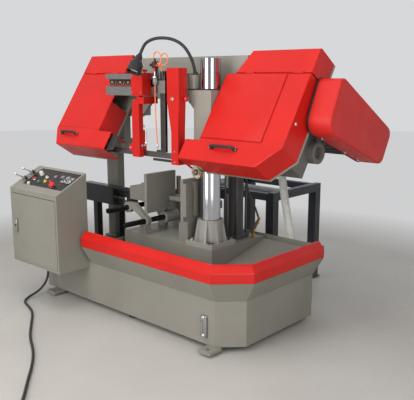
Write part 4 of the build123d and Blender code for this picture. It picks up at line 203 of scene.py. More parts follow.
def painted(name, colour, roughness, edge, edge_wear_and_highlight=0.5, cast=0.0, dust=0.0):
    """Machine enamel: uneven tone, fine peel, edges lighter from wear and painted highlight, painted shade in
    the corners and dust near the floor.
    """
    finish, tree, shader, where = blank_finish(name)
    clouds = noise(tree, where, 2.4, 5.0)
    tone = spread(tree, clouds, 0.32, 0.68, 0, 1)
    coat = blended(tree, tone, shade(colour, 0.90), shade(colour, 1.08))
    specks = spread(tree, noise(tree, where, 190), 0.60, 0.74, 0, 0.30)
    coat = blended(tree, specks, coat, shade(colour, 0.78))
    # Painted shade: corners and recesses darkened by occlusion, broken up by clouds
    corners = add_node(tree, "AmbientOcclusion", {"Distance": 0.03}, samples=6, only_local=True).outputs["AO"]
    corner_shade = patchy(tree, where, spread(tree, corners, 0.75, 0.25, 0, 0.55), 23, 0.3, 0.6, 0.4)
    coat = blended(tree, corner_shade, coat, shade(colour, 0.42))
    # Edges lighter: partly paint worn thin, partly a painted highlight
    rounded = add_node(tree, "Bevel", {"Radius": 0.004}, samples=4).outputs["Normal"]
    face = add_node(tree, "NewGeometry").outputs["Normal"]
    bend = add_node(tree, "VectorMath", {0: rounded, 1: face}, operation="DOT_PRODUCT").outputs["Value"]
    worn_and_highlit_edge = patchy(tree, where, spread(tree, bend, 0.97, 0.80, 0, edge_wear_and_highlight), 46, 0.40, 0.62, 0.15)
    coat = blended(tree, worn_and_highlit_edge, coat, (*edge, 1))
    if dust:
        height = add_node(tree, "SeparateXYZ", {"Vector": where}).outputs["Z"]
        settled = patchy(tree, where, spread(tree, height, 0.0, 0.34, dust, 0), 9, 0.3, 0.65, 0.3)
        coat = blended(tree, settled, coat, (0.30, 0.27, 0.23, 1))
    tree.links.new(coat, shader.inputs["Base Color"])
    gloss = spread(tree, noise(tree, where, 13), 0.3, 0.7, roughness - 0.06, roughness + 0.09)
    tree.links.new(gloss, shader.inputs["Roughness"])
    shader.inputs["Specular IOR Level"].default_value = 0.34
    waves = add_node(tree, "Bump", {"Height": noise(tree, where, 5.5, 1.0), "Strength": 0.10,
                                    "Distance": 0.004})
    skin = add_node(tree, "Bump", {"Height": noise(tree, where, 520, 1.0), "Strength": 0.06,
                                   "Distance": 0.0006, "Normal": waves.outputs["Normal"]})
    if cast:
        skin = add_node(tree, "Bump", {"Height": noise(tree, where, 130, 4.0), "Strength": cast,
                                       "Distance": 0.0016, "Normal": skin.outputs["Normal"]})
    tree.links.new(skin.outputs["Normal"], shader.inputs["Normal"])
    return finish


def metal(name, colour, roughness, grain=(1, 1, 1), depth=0.08, stain=0.0):
    """Bare metal: grain drawn out along the way it was ground, smudges, and stains where oil dries."""
    finish, tree, shader, where = blank_finish(name)
    drawn = add_node(tree, "Mapping", {"Vector": where, "Scale": grain}).outputs["Vector"]
    lines = noise(tree, drawn, 90, 4.0)
    tone = blended(tree, spread(tree, lines, 0.3, 0.7, 0, 1), shade(colour, 0.86), shade(colour, 1.10))
    if stain:
        oil = spread(tree, noise(tree, where, 11, 5.0), 0.50, 0.66, 0, stain)
        tone = blended(tree, oil, tone, shade((colour[0] * 0.62, colour[1] * 0.50, colour[2] * 0.38), 0.8))
    tree.links.new(tone, shader.inputs["Base Color"])
    shader.inputs["Metallic"].default_value = 1.0
    smudge = spread(tree, noise(tree, where, 17), 0.3, 0.7, roughness * 0.8, roughness * 1.3)
    tree.links.new(smudge, shader.inputs["Roughness"])
    cut = add_node(tree, "Bump", {"Height": lines, "Strength": depth, "Distance": 0.0004})
    tree.links.new(cut.outputs["Normal"], shader.inputs["Normal"])
    return finish


def moulded(name, colour, roughness, grain=380, depth=0.10, clear=0.0):
    """Plastic, rubber or glass: faint tone, moulded grain and handling marks."""
    finish, tree, shader, where = blank_finish(name)
    tone = spread(tree, noise(tree, where, 16, 4.0), 0.3, 0.7, 0, 1)
    coat = blended(tree, tone, shade(colour, 0.86), shade(colour, 1.12))
    tree.links.new(coat, shader.inputs["Base Color"])
    gloss = spread(tree, noise(tree, where, 41), 0.3, 0.7, roughness - 0.05, roughness + 0.08)
    tree.links.new(gloss, shader.inputs["Roughness"])
    skin = add_node(tree, "Bump", {"Height": noise(tree, where, grain, 2.0), "Strength": depth,
                                   "Distance": 0.0005})
    tree.links.new(skin.outputs["Normal"], shader.inputs["Normal"])
    shader.inputs["Transmission Weight"].default_value = clear
    return finish


guard_red = painted("guard_red", (0.55, 0.010, 0.006), 0.34, (0.64, 0.06, 0.045), edge_wear_and_highlight=0.45)
cover_red = painted("cover_red", (0.56, 0.018, 0.014), 0.40, (0.64, 0.07, 0.055), edge_wear_and_highlight=0.45)
frame_grey = painted("frame_grey", (0.235, 0.225, 0.190), 0.42, (0.34, 0.33, 0.29), dust=0.28)
bow_grey = painted("bow_grey", (0.285, 0.270, 0.232), 0.44, (0.38, 0.36, 0.31))
foot_grey = painted("foot_grey", (0.31, 0.30, 0.27), 0.46, (0.42, 0.41, 0.37), cast=0.25)
jaw_grey = painted("jaw_grey", (0.21, 0.20, 0.172), 0.46, (0.33, 0.32, 0.28), edge_wear_and_highlight=0.6, cast=0.12)
casting_grey = painted("casting_grey", (0.135, 0.132, 0.122), 0.50, (0.24, 0.23, 0.21), cast=0.35)
barrel_grey = painted("barrel_grey", (0.075, 0.075, 0.075), 0.40, (0.17, 0.17, 0.16), edge_wear_and_highlight=0.4)
channel_black = painted("channel_black", (0.016, 0.016, 0.017), 0.28, (0.07, 0.07, 0.07), edge_wear_and_highlight=0.4)
table_slate = painted("table_slate", (0.030, 0.033, 0.041), 0.38, (0.10, 0.10, 0.11), edge_wear_and_highlight=0.4, dust=0.25)
# A faint red tint in this black: a painted red sheen
panel_black_red_sheen = painted("panel_black_red_sheen", (0.020, 0.014, 0.014), 0.36, (0.08, 0.07, 0.07), edge_wear_and_highlight=0.3)
jaw_iron = metal("jaw_iron", (0.40, 0.385, 0.36), 0.42, (1, 1, 14), 0.14, stain=0.55)
rail_steel = metal("rail_steel", (0.36, 0.345, 0.335), 0.40, (0.5, 12, 12), 0.06, stain=0.10)
dark_steel = metal("dark_steel", (0.105, 0.098, 0.096), 0.40, (1, 1, 0.2), 0.10, stain=0.30)
blade_steel = metal("blade_steel", (0.17, 0.155, 0.145), 0.38, (0.3, 6, 6), stain=0.30)
hard_chrome = metal("hard_chrome", (0.48, 0.48, 0.49), 0.085, (1, 1, 7), 0.015)
bright_zinc = metal("bright_zinc", (0.66, 0.66, 0.65), 0.22, (1, 1, 1), 0.06, stain=0.10)
motor_alloy = metal("motor_alloy", (0.30, 0.30, 0.31), 0.46, (1, 1, 1), 0.22, stain=0.20)
black_oxide = metal("black_oxide", (0.045, 0.042, 0.042), 0.38, (1, 8, 1), stain=0.25)
roller_steel = metal("roller_steel", (0.30, 0.30, 0.31), 0.40, (10, 1, 1), stain=0.25)
brass = metal("brass", (0.62, 0.43, 0.17), 0.30, (1, 1, 1), 0.06, stain=0.20)
brush_wire = metal("brush_wire", (0.72, 0.60, 0.40), 0.45, (1, 1, 1), 0.05)
black_plastic = moulded("black_plastic", (0.018, 0.018, 0.019), 0.46)
red_plastic = moulded("red_plastic", (0.55, 0.018, 0.016), 0.26, depth=0.03)
green_plastic = moulded("green_plastic", (0.02, 0.26, 0.06), 0.28, depth=0.03)
yellow_plastic = moulded("yellow_plastic", (0.72, 0.45, 0.03), 0.25, depth=0.03)
white_plastic = moulded("white_plastic", (0.68, 0.66, 0.60), 0.34, depth=0.04)
orange_tube = moulded("orange_tube", (0.82, 0.21, 0.055), 0.30, grain=200, depth=0.04)
hose_plastic = moulded("hose_plastic", (0.60, 0.61, 0.57), 0.48, grain=260, depth=0.06)
cord_rubber = moulded("cord_rubber", (0.022, 0.021, 0.021), 0.55, grain=450, depth=0.16)
belt_rubber = moulded("belt_rubber", (0.024, 0.023, 0.022), 0.70, grain=300, depth=0.25)
sight_glass = moulded("sight_glass", (0.85, 0.90, 0.92), 0.10, grain=60, depth=0.02, clear=0.85)
lens_glass = moulded("lens_glass", (0.66, 0.66, 0.64), 0.22, grain=150, depth=0.12)


# Soft light: two tall boxes whose bright strips show in the column, one above, and a pale room
def softbox(name, place, aim, width, height, power):
    """A rectangular soft light that looks at a point."""
    lamp = bpy.data.lights.new(name, "AREA")
    lamp.shape = "RECTANGLE"
    lamp.size = width
    lamp.size_y = height
    lamp.energy = power
    box = put(name, lamp)
    box.location = place
    box.rotation_euler = (Vector(aim) - Vector(place)).to_track_quat("-Z", "Y").to_euler()


softbox("front_box", (0.10, -3.05, 1.75), (0.20, 0.0, 1.30), 1.7, 3.3, 70)
softbox("side_box", (2.95, -1.62, 1.75), (0.366, -0.03, 1.30), 1.5, 3.3, 44)
softbox("top_box", (-0.3, -1.0, 4.2), (0.1, 0.0, 0.6), 3.2, 3.2, 80)
bpy.data.objects["top_box"].visible_glossy = False

room = bpy.data.worlds.new("room")
room.use_nodes = True
room_tree = room.node_tree
room_tree.nodes.clear()
facing = add_node(room_tree, "TexCoord").outputs["Generated"]
behind = add_node(room_tree, "VectorMath", {0: facing, 1: (-0.675, 0.738, 0.25)},
                  operation="DOT_PRODUCT").outputs["Value"]
room_tone = blended(room_tree, spread(room_tree, behind, -0.55, 0.65, 0, 1), (0.32, 0.32, 0.33, 1),
                    (0.68, 0.685, 0.70, 1))
room_sight = add_node(room_tree, "Background", {"Color": room_tone, "Strength": 1.0})
room_fill = add_node(room_tree, "Background", {"Color": (0.40, 0.40, 0.41, 1), "Strength": 0.9})
room_glow = add_node(room_tree, "MixShader", {0: sight_rays(room_tree), 1: room_fill.outputs["Background"],
                                              2: room_sight.outputs["Background"]})
add_node(room_tree, "OutputWorld", {"Surface": room_glow.outputs["Shader"]})
scene.world = room

# Floor: plain and pale, and further off it takes the background's colour
FLOOR_RADIUS, FLOOR_LEVEL = 14, -0.001
FADE_START, FADE_END = 2.1, 3.3
deselect()
bpy.ops.mesh.primitive_circle_add(vertices=96, radius=FLOOR_RADIUS, fill_type="NGON",
                                  location=(0, 0, FLOOR_LEVEL))
floor = bpy.context.object
floor.name = "floor"
floor_paint, floor_tree, floor_shader, floor_where = blank_finish("floor_paint")
flat = add_node(floor_tree, "VectorMath", {0: floor_where}, operation="LENGTH").outputs["Value"]
floor_tone = blended(floor_tree, spread(floor_tree, noise(floor_tree, floor_where, 1.3, 5.0), 0.3, 0.7, 0, 1),
                     (0.44, 0.42, 0.385, 1), (0.50, 0.48, 0.445, 1))
floor_tree.links.new(floor_tone, floor_shader.inputs["Base Color"])
far_off = times(floor_tree, spread(floor_tree, flat, FADE_START, FADE_END, 0, 1), sight_rays(floor_tree))
far_glow = add_node(floor_tree, "Emission", {"Color": (0.62, 0.622, 0.63, 1), "Strength": 1.0})
floor_sight = add_node(floor_tree, "MixShader", {0: far_off, 1: floor_shader.outputs["BSDF"],
                                                 2: far_glow.outputs["Emission"]})
floor_sheet = floor_tree.nodes["Material Output"]
floor_tree.links.new(floor_sight.outputs["Shader"], floor_sheet.inputs["Surface"])
floor_tree.links.new(spread(floor_tree, noise(floor_tree, floor_where, 30), 0.3, 0.7, 0.42, 0.62),
                     floor_shader.inputs["Roughness"])
floor.data.materials.append(floor_paint)


def settle(piece, name, finish, body, place=HERE, smooth=38):
    """Name a piece, put its place into its mesh, give it its finish and hang it on its body."""
    take(piece)
    piece.matrix_world = place @ piece.matrix_world
    place_into_mesh()
    bpy.ops.object.shade_smooth_by_angle(angle=math.radians(smooth))
    piece.name = name
    piece.data.name = name
    piece.data.materials.clear()
    piece.data.materials.append(finish)
    if body:
        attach(piece, body)
    return piece


def nurbs_line(name, points, radius=0.0, steps=8):
    """A smooth line led by a route's points, round if it has a radius."""
    curve = bpy.data.curves.new(name, "CURVE")
    curve.dimensions = "3D"
    spline = curve.splines.new("NURBS")
    spline.points.add(len(points) - 1)
    for point, place in zip(spline.points, points):
        point.co = (*(Vector(place) * MM), 1)
    spline.order_u = 3
    spline.use_endpoint_u = True
    spline.resolution_u = steps
    curve.bevel_depth = radius * MM
    curve.bevel_resolution = 5
    curve.use_fill_caps = radius > 0
    return put(name, curve)


def read_line(points, steps=12):
    """The points of a route's smooth line, in metres."""
    line = nurbs_line("route", points, 0.0, steps)
    mesh = bpy.data.meshes.new_from_object(line)
    found = [vertex.co.copy() for vertex in mesh.vertices]
    bpy.data.objects.remove(line)
    bpy.data.meshes.remove(mesh)
    return found


def run_length(points):
    """The length of a line of points."""
    return sum((after - before).length for before, after in zip(points, points[1:]))


def round_cord(name, points, radius, finish, body, **facts):
    """A round free cord or hose on a route, with its length worked out."""
    cord = nurbs_line(name, points, radius)
    cord.data.materials.append(finish)
    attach(cord, body)
    facts.setdefault("length", round(run_length(read_line(points)), 3))
    return cord


def ribbed_tube(name, line, pitch, profile, sides, finish):
    """A tube of ribs along a line of points; profile gives (share of a pitch, radius in mm) steps."""
    gone = [0.0]
    for before, after in zip(line, line[1:]):
        gone.append(gone[-1] + (after - before).length)
    ribs = int(gone[-1] / (pitch * MM))
    stops = []
    for rib in range(ribs):
        stops += [((rib + share) * gone[-1] / ribs, radius) for share, radius in profile]
    stops.append((gone[-1], profile[0][1]))
    corners = []
    faces = []
    side_way = (line[1] - line[0]).orthogonal().normalized()
    leg = 0
    for ring, (stop, radius) in enumerate(stops):
        while leg < len(line) - 2 and gone[leg + 1] < stop:
            leg += 1
        run = line[leg + 1] - line[leg]
        middle = line[leg] + run * ((stop - gone[leg]) / (gone[leg + 1] - gone[leg]))
        way = run.normalized()
        side_way = (side_way - way * side_way.dot(way)).normalized()
        other = way.cross(side_way)
        for side in range(sides):
            turn = 2 * math.pi * side / sides
            corners.append(middle + (side_way * math.cos(turn) + other * math.sin(turn)) * radius * MM)
        if ring:
            for side in range(sides):
                following = (side + 1) % sides
                low = (ring - 1) * sides
                faces.append((low + side, low + following, low + sides + following, low + sides + side))
    faces.append(tuple(range(sides - 1, -1, -1)))
    faces.append(tuple(range(len(corners) - sides, len(corners))))
    mesh = bpy.data.meshes.new(name)
    mesh.from_pydata(corners, [], faces)
    tube = put(name, mesh)
    take(tube)
    bpy.ops.object.shade_smooth_by_angle(angle=math.radians(50))
    mesh.materials.append(finish)
    return tube


# Power cord: from the gland to the floor, along it and out of view, with the spare length in a tied coil
CORD = 7.5
CORD_ROUTE = [(-724, -425, 207), (-724, -425, 141), (-728, -450, 77), (-735, -506, 32), (-742, -574, 12),
              (-700, -633, 8), (-616, -657, 8), (-497, -696, 8), (-340, -806, 8), (-180, -917, 8),
              (-10, -1000, 8), (132, -1097, 8), (272, -1212, 8), (407, -1318, 8), (523, -1425, 8),
              (590, -1540, 8)]
COIL_PITCH = 15.8
COIL_RADIUS = 98
COIL_QUARTERS = 18
coil_start = Vector(CORD_ROUTE[-1])
coil_way = (coil_start - Vector(CORD_ROUTE[-2])).normalized()
coil_axis = coil_start + Vector((coil_way.y, -coil_way.x, 0)) * COIL_RADIUS
coil_angle = math.atan2(coil_start.y - coil_axis.y, coil_start.x - coil_axis.x)


def coil_point(quarters):
    """The middle of the coiled cord after some quarter turns: in along the floor, up a layer and out."""
    middle = COIL_QUARTERS / 2
    wound = middle - abs(quarters - middle)
    climb = min(max((quarters - middle + 1) / 2, 0), 1)
    radius = COIL_RADIUS - COIL_PITCH * wound / 4
    angle = coil_angle - quarters * math.pi / 2
    return coil_axis + Vector((radius * math.cos(angle), radius * math.sin(angle), COIL_PITCH * climb))


coil_turns = [coil_point(step / 4) for step in range(1, 4 * COIL_QUARTERS + 1)]
coil_end_way = (coil_point(COIL_QUARTERS) - coil_point(COIL_QUARTERS - 0.04)).normalized()
plug_start = coil_turns[-1] + coil_end_way * 2 * CORD
cord_points = CORD_ROUTE + [tuple(point) for point in coil_turns] + [tuple(plug_start)]
power_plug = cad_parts["power_plug"]
power_cord = round_cord("power_lead", cord_points, CORD, cord_rubber, "base", far_end="plug",
                        stiffness="medium", lay="loose", with_pieces=[power_plug])
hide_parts("power_cord", "cord_coil")

# Lift cylinder's pressure hose
LIFT_HOSE = 6
LIFT_ROUTE = [(448, 196, 838), (449, 198, 792), (460, 208, 738), (480, 224, 682), (497, 237, 632),
              (506, 246, 588)]
lift_hose = round_cord("lift_hose", LIFT_ROUTE, LIFT_HOSE, cord_rubber, "base", far_end="object",
                       stiffness="stiff", lay="hanging")
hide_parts("lift_hoses")

# Ribbed drain hose from the bow down to the tray's spigot
HOSE_PITCH = 9.2
HOSE_RIB = ((0, 22.2), (0.16, 24), (0.3, 25), (0.5, 25), (0.64, 24), (0.8, 22.2))
HOSE_SHARES = (0, 0.06, 0.2, 0.36, 0.52, 0.68, 0.82, 0.94, 1)
HOSE_X, HOSE_Y, HOSE_Z = 554, 398, 892
HOSE_OUT, HOSE_CURVE, HOSE_DROP = 146, 1.3, 656
HOSE_ROUTE = [(HOSE_X + HOSE_OUT * share ** HOSE_CURVE, HOSE_Y, HOSE_Z - HOSE_DROP * share)
              for share in HOSE_SHARES]
hose_line = read_line(HOSE_ROUTE, 24)
drain_hose = ribbed_tube("drain_hose_ribs", hose_line, HOSE_PITCH, HOSE_RIB, 32, hose_plastic)
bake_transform(drain_hose)
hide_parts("drain_hose")


def block_piece(name, low, high, edge, finish, body, place=HERE, steps=2):
    """A block between two corners, with its edges rounded over."""
    deselect()
    bpy.ops.mesh.primitive_cube_add(size=1)
    piece = bpy.context.object
    low, high = Vector(low) * MM, Vector(high) * MM
    piece.scale = high - low
    piece.location = (low + high) / 2
    place_into_mesh()
    edit_mesh()
    bpy.ops.mesh.bevel(offset=edge * MM, segments=steps, profile=0.5, affect="EDGES")
    close_mesh()
    return settle(piece, name, finish, body, place)


def turned_piece(name, steps, finish, body, place=HERE, sides=32, ring=False, smooth=38):
    """A piece turned about its axis from (height, radius) steps; a ring's steps come back to the first."""
    if sides <= 6:  # nuts and squares keep the edges between their sides
        smooth = 20
    deselect()
    height, radius = steps[0]
    bpy.ops.mesh.primitive_circle_add(vertices=sides, radius=radius * MM, location=(0, 0, height * MM),
                                      fill_type="NOTHING" if ring else "NGON")
    piece = bpy.context.object
    bpy.ops.object.transform_apply(location=True)
    edit_mesh()
    for next_height, next_radius in steps[1:]:
        raise_mesh(next_height - height)
        share = next_radius / radius
        bpy.ops.transform.resize(value=(share, share, 1), center_override=(0, 0, next_height * MM))
        height, radius = next_height, next_radius
    bpy.ops.mesh.select_all(action="SELECT")
    bpy.ops.mesh.remove_doubles(threshold=0.00001)
    face_outward()
    close_mesh()
    return settle(piece, name, finish, body, place, smooth)


def cut_plate(name, corners, span, edge, finish, body, place=HERE):
    """A plate cut to an outline in its frame's X and Y and thick along Z."""
    deselect()
    bpy.ops.mesh.primitive_circle_add(vertices=len(corners), radius=1, fill_type="NGON")
    piece = bpy.context.object
    for vertex, corner in zip(piece.data.vertices, corners):
        vertex.co = (corner[0] * MM, corner[1] * MM, span[0] * MM)
    edit_mesh()
    raise_mesh(span[1] - span[0])
    face_outward()
    bpy.ops.mesh.bevel(offset=edge * MM, segments=2, profile=0.5, affect="EDGES")
    close_mesh()
    return settle(piece, name, finish, body, place)


def rounded_outline(corners, radii, grow=0.0, steps=6):
    """An outline's corners (turning left) pushed out by an amount and rounded."""
    middle = sum((Vector(corner) for corner in corners), Vector((0, 0))) / len(corners)
    points = []
    for number, corner in enumerate(corners):
        here = Vector(corner)
        before = (Vector(corners[number - 1]) - here).normalized()
        after = (Vector(corners[(number + 1) % len(corners)]) - here).normalized()
        half = before.angle(after) / 2
        inward = (before + after).normalized()
        centre = here + inward * (radii[number] / math.sin(half))
        radius = radii[number] + grow
        spread_angle = math.pi / 2 - half
        facing_out = math.atan2(-inward.y, -inward.x)
        turning = 1 if (here - middle).cross(after) > 0 else -1
        for step in range(steps + 1):
            turn = facing_out + turning * spread_angle * (2 * step / steps - 1)
            points.append((centre.x + radius * math.cos(turn), centre.y + radius * math.sin(turn)))
    return points


def cut_ring(name, outer, inner, span, finish, body, place=HERE):
    """A flat ring between two outlines of as many corners, thick along Z."""
    deselect()
    loops = []
    for corners in (outer, inner):
        bpy.ops.mesh.primitive_circle_add(vertices=len(corners), radius=1, fill_type="NOTHING")
        loops.append(bpy.context.object)
        for vertex, corner in zip(loops[-1].data.vertices, corners):
            vertex.co = (corner[0] * MM, corner[1] * MM, span[0] * MM)
    loops[0].select_set(True)
    bpy.ops.object.join()
    piece = bpy.context.object
    edit_mesh()
    bpy.ops.mesh.bridge_edge_loops()
    bpy.ops.mesh.select_all(action="SELECT")
    raise_mesh(span[1] - span[0])
    face_outward()
    close_mesh()
    return settle(piece, name, finish, body, place)


def bent_bar(name, points, radius, finish, body, place=HERE):
    """A round bar or pipe bent along a route."""
    line = nurbs_line(name, points, radius, 10)
    take(line)
    bpy.ops.object.convert(target="MESH")
    return settle(bpy.context.object, name, finish, body, place)


def joined(name, pieces, body):
    """Join pieces that are made as one."""
    take(pieces[0])
    for piece in pieces[1:]:
        piece.select_set(True)
    bpy.ops.object.join()
    whole = bpy.context.object
    whole.name = name
    whole.data.name = name
    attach(whole, body)
    return whole


def repeated(name, model, places, body):
    """Copy a model to each place, each copy with its own mesh, and keep the copies as one piece."""
    copies = []
    for place in places:
        copy = put(name, model.data.copy())
        copy.matrix_world = place
        copies.append(copy)
    bpy.data.objects.remove(model)
    deselect()
    for copy in copies:
        copy.select_set(True)
    bpy.context.view_layer.objects.active = copies[0]
    place_into_mesh()
    return joined(name, copies, body)


def hex_bolt(radius, height):
    """A hexagon bolt head on its washer."""
    head = turned_piece("bolt_head", [(2, radius), (2 + height - 1.2, radius), (2 + height, radius - 1.6)],
                        bright_zinc, None, sides=6)
    washer = turned_piece("bolt_washer", [(0, radius * 1.25), (1.6, radius * 1.25), (2, radius * 1.18)],
                          bright_zinc, None, sides=24)
    take(head)
    washer.select_set(True)
    bpy.ops.object.join()
    return bpy.context.object


def cap_screw(radius, height):
    """A socket head screw."""
    steps = [(0, radius), (height - 0.8, radius), (height, radius - 0.8), (height, radius * 0.55),
             (height * 0.45, radius * 0.5)]
    return turned_piece("screw", steps, bright_zinc, None, sides=20)


SHARP = math.radians(34)


def eased(node, width, finish, body):
    """A piece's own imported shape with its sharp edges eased, as folded and cast edges are."""
    piece = put(node + "_eased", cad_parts[node].data.copy())
    take(piece)
    bpy.ops.mesh.customdata_custom_splitnormals_clear()
    edit_mesh()
    bpy.ops.mesh.remove_doubles(threshold=0.00002)
    bpy.ops.mesh.dissolve_limited(angle_limit=math.radians(0.6))
    close_mesh()
    ease = piece.modifiers.new("eased_edges", "BEVEL")
    ease.width = width * MM
    ease.segments = 2
    ease.limit_method = "ANGLE"
    ease.angle_limit = SHARP
    bpy.ops.object.modifier_apply(modifier=ease.name)
    settle(piece, node + "_eased", finish, body, smooth=30)
    even = piece.modifiers.new("even_shading", "WEIGHTED_NORMAL")
    even.keep_sharp = True
    bpy.ops.object.modifier_apply(modifier=even.name)
    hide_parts(node)


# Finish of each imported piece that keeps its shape, and the mm its edges are eased by (0: as packed)
FINISHES = [
    ("base_shell", frame_grey, 2.5, "base"), ("tray_rim", guard_red, 4, "base"),
    ("bed", frame_grey, 2.5, "base"), ("column_foot", foot_grey, 2, "base"),
    ("main_column", hard_chrome, 0, "base"), ("side_column", frame_grey, 3, "base"),
    ("lift_barrel", barrel_grey, 1.5, "base"), ("lift_rod", hard_chrome, 0, "bow"),
    ("bow_frame", bow_grey, 2.5, "bow"), ("wheel_hoods", guard_red, 1.2, "bow"),
    ("drive_door", guard_red, 1.2, "drive_door"), ("idler_door", guard_red, 1.2, "idler_door"),
    ("belt_cover", cover_red, 1.5, "bow"), ("gearbox", casting_grey, 3, "bow"),
    ("drive_motor", motor_alloy, 0, "bow"), ("worm_pulley", jaw_iron, 1, "worm_pulley"),
    ("motor_pulley", jaw_iron, 1, "motor_pulley"), ("drive_belts", belt_rubber, 0, "bow"),
    ("drive_wheel", jaw_iron, 1, "drive_wheel"), ("idler_wheel", jaw_iron, 1, "idler_wheel"),
    ("tension_slide", dark_steel, 1.5, "tension_slide"), ("blade", blade_steel, 0, "bow"),
    ("guide_rail", rail_steel, 1.5, "bow"), ("sliding_guide_arm", guard_red, 2.5, "sliding_guide_arm"),
    ("fixed_guide_arm", guard_red, 3.5, "bow"), ("approach_bar", dark_steel, 2, "approach_bar"),
    ("vise_table", frame_grey, 0.5, "base"), ("movable_jaw", jaw_grey, 1, "movable_jaw"),
    ("fixed_jaw", jaw_grey, 2, "base"), ("vise_cylinder", barrel_grey, 1.5, "base"),
    ("rod_yoke", frame_grey, 3, "base"), ("feed_rods", black_oxide, 1, "base"),
    ("feed_carriage", foot_grey, 2, "feed_carriage"), ("feed_jaw", jaw_grey, 2, "feed_jaw"),
    ("roller_frame", table_slate, 2, "base"), ("table_roller", roller_steel, 1.5, "table_roller"),
    ("side_channel", channel_black, 2, "base"), ("cabinet_shell", frame_grey, 1.2, "base"),
    ("cabinet_door", frame_grey, 1.2, "cabinet_door"), ("console_panel", panel_black_red_sheen, 0, "base"),
    ("leveling_feet", dark_steel, 1, "base"), ("foundation_bolts", bright_zinc, 1, "base"),
    ("cord_gland", black_plastic, 0.8, "base"), ("power_plug", black_plastic, 0, "base")]
for node, finish, width, body in FINISHES:
    if width:
        eased(node, width, finish, body)
    else:
        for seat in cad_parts[node].material_slots:
            seat.material = finish

# Work lamp: block, socket, ribbed gooseneck, collared shade, lens and toggle
LAMP_ROUTE = [(283, -65, 1431), (283, -72, 1470), (276, -92, 1528), (250, -119, 1588), (200, -142, 1622),
              (138, -163, 1635), (72, -183, 1632), (18, -196, 1610), (-8, -201, 1572), (-8, -219, 1538)]
NECK_PITCH = 5.6
NECK_RIB = ((0, 8.4), (0.25, 9), (0.7, 9), (0.95, 8.4))
lamp_aim = (Vector(LAMP_ROUTE[-1]) - Vector(LAMP_ROUTE[-2])).normalized()
lamp_place = along(LAMP_ROUTE[-1], lamp_aim)
lamp_neck = ribbed_tube("lamp_neck", read_line(LAMP_ROUTE, 24), NECK_PITCH, NECK_RIB, 18, black_plastic)
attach(lamp_neck, "bow")
SHADE = [(-8, 10), (-8, 13), (2, 14), (2, 18), (5, 19), (8, 18), (8, 16.5), (11, 16.5), (11, 19), (14, 20),
         (17, 19), (17, 17), (20, 17), (20, 20), (23, 21), (26, 20), (26, 19), (30, 25), (36, 31), (46, 36),
         (52, 38.5), (100, 43), (104, 43), (104, 41.2), (98, 40.2), (72, 37.5), (70, 18)]
lamp_shade = turned_piece("lamp_shade", SHADE, black_plastic, "bow", lamp_place, sides=48)
turned_piece("lamp_lens", [(78, 37.6), (84, 38.6), (86, 37), (88.5, 29), (90, 17), (90.4, 5)], lens_glass,
             "bow", lamp_place, sides=40)
across = Vector((math.cos(VIEW_TURN), math.sin(VIEW_TURN), 0))
toggle_side = (across - lamp_aim * across.dot(lamp_aim)).normalized()
toggle_start = Vector(LAMP_ROUTE[-1]) + lamp_aim * 33 + toggle_side * 25
turned_piece("lamp_toggle", [(0, 5), (3, 5), (3, 3), (18, 2.4), (21, 2.8), (24, 1.4)], white_plastic, "bow",
             along(toggle_start, toggle_side * 0.75 + lamp_aim * 0.65), sides=16)
block_piece("lamp_block", (240, -90, 1354), (300, -40, 1431), 3, bow_grey, "bow")
turned_piece("lamp_socket", [(0, 15), (6, 15), (8, 13.5), (16, 12.5), (18, 9.5)], black_plastic, "bow",
             along(LAMP_ROUTE[0], UP), sides=28)
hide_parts("work_lamp")

# Door grips: bowed bars on two feet
GRIP_S = 40
GRIP_LINE = ((12, 86), (13, 98), (25, 109.5), (55, 110.6))
FOOT_N = (85.3, 93)
for side, low, high in (("idler", -802, -622), ("drive", 532, 719)):
    body = side + "_door"
    bow_points = [(low + inset, GRIP_S, n) for inset, n in GRIP_LINE]
    bow_points.append(((low + high) / 2, GRIP_S, GRIP_LINE[-1][1]))
    bow_points += [(high - inset, GRIP_S, n) for inset, n in reversed(GRIP_LINE)]
    grip = bent_bar(side + "_grip", bow_points, 8.2, black_plastic, body, WHEELS)
    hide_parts(side + "_handle")
    for end, left in (("left", low + 1), ("right", high - 27)):
        block_piece(side + "_grip_foot_" + end, (left, 29, FOOT_N[0]), (left + 26, 51, FOOT_N[1]), 2.5,
                    black_plastic, body, WHEELS)
    seats = [WHEELS @ Matrix.Translation(mm(x, s, FOOT_N[1])) for x in (low + 4.5, high - 4.5)
             for s in (34, 46)]
    repeated(side + "_grip_screws", cap_screw(3, 2.5), seats, body)

# Wire brush: hub and its ring of wire bristles
BRUSH = along((393, -160, 905), FRONT)
BRISTLE_ROWS, ROW_BRISTLES, ROW_PITCH = 6, 80, 2.8
BRISTLE_ROOT, BRISTLE_LENGTH = 17, 19
turned_piece("brush_hub", [(1, 15), (3, 18), (19, 18), (21, 16), (21, 8), (8, 7)], dark_steel, "wire_brush",
             BRUSH, sides=28)
deselect()
bpy.ops.mesh.primitive_cone_add(vertices=4, radius1=0.85 * MM, radius2=0.45 * MM, depth=BRISTLE_LENGTH * MM,
                                location=(0, 0, BRISTLE_LENGTH / 2 * MM))
bristle = bpy.context.object
bpy.ops.object.transform_apply(location=True)
edit_mesh()
bpy.ops.mesh.subdivide(number_cuts=1)
close_mesh()
bristle = settle(bristle, "bristle", brush_wire, None)
bristle_places = []
for row in range(BRISTLE_ROWS):
    for number in range(ROW_BRISTLES):
        turn = 2 * math.pi * (number + row / BRISTLE_ROWS) / ROW_BRISTLES
        lean = 0.10 * math.sin(number * 2.4 + row)
        root = Vector((BRISTLE_ROOT * math.cos(turn), BRISTLE_ROOT * math.sin(turn), 4 + row * ROW_PITCH))
        way = Vector((math.cos(turn + lean), math.sin(turn + lean), 0.09 * math.sin(number * 1.7 + row * 2)))
        bristle_places.append(BRUSH @ along(root, way))
bristles = repeated("brush_bristles", bristle, bristle_places, "wire_brush")
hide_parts("wire_brush")

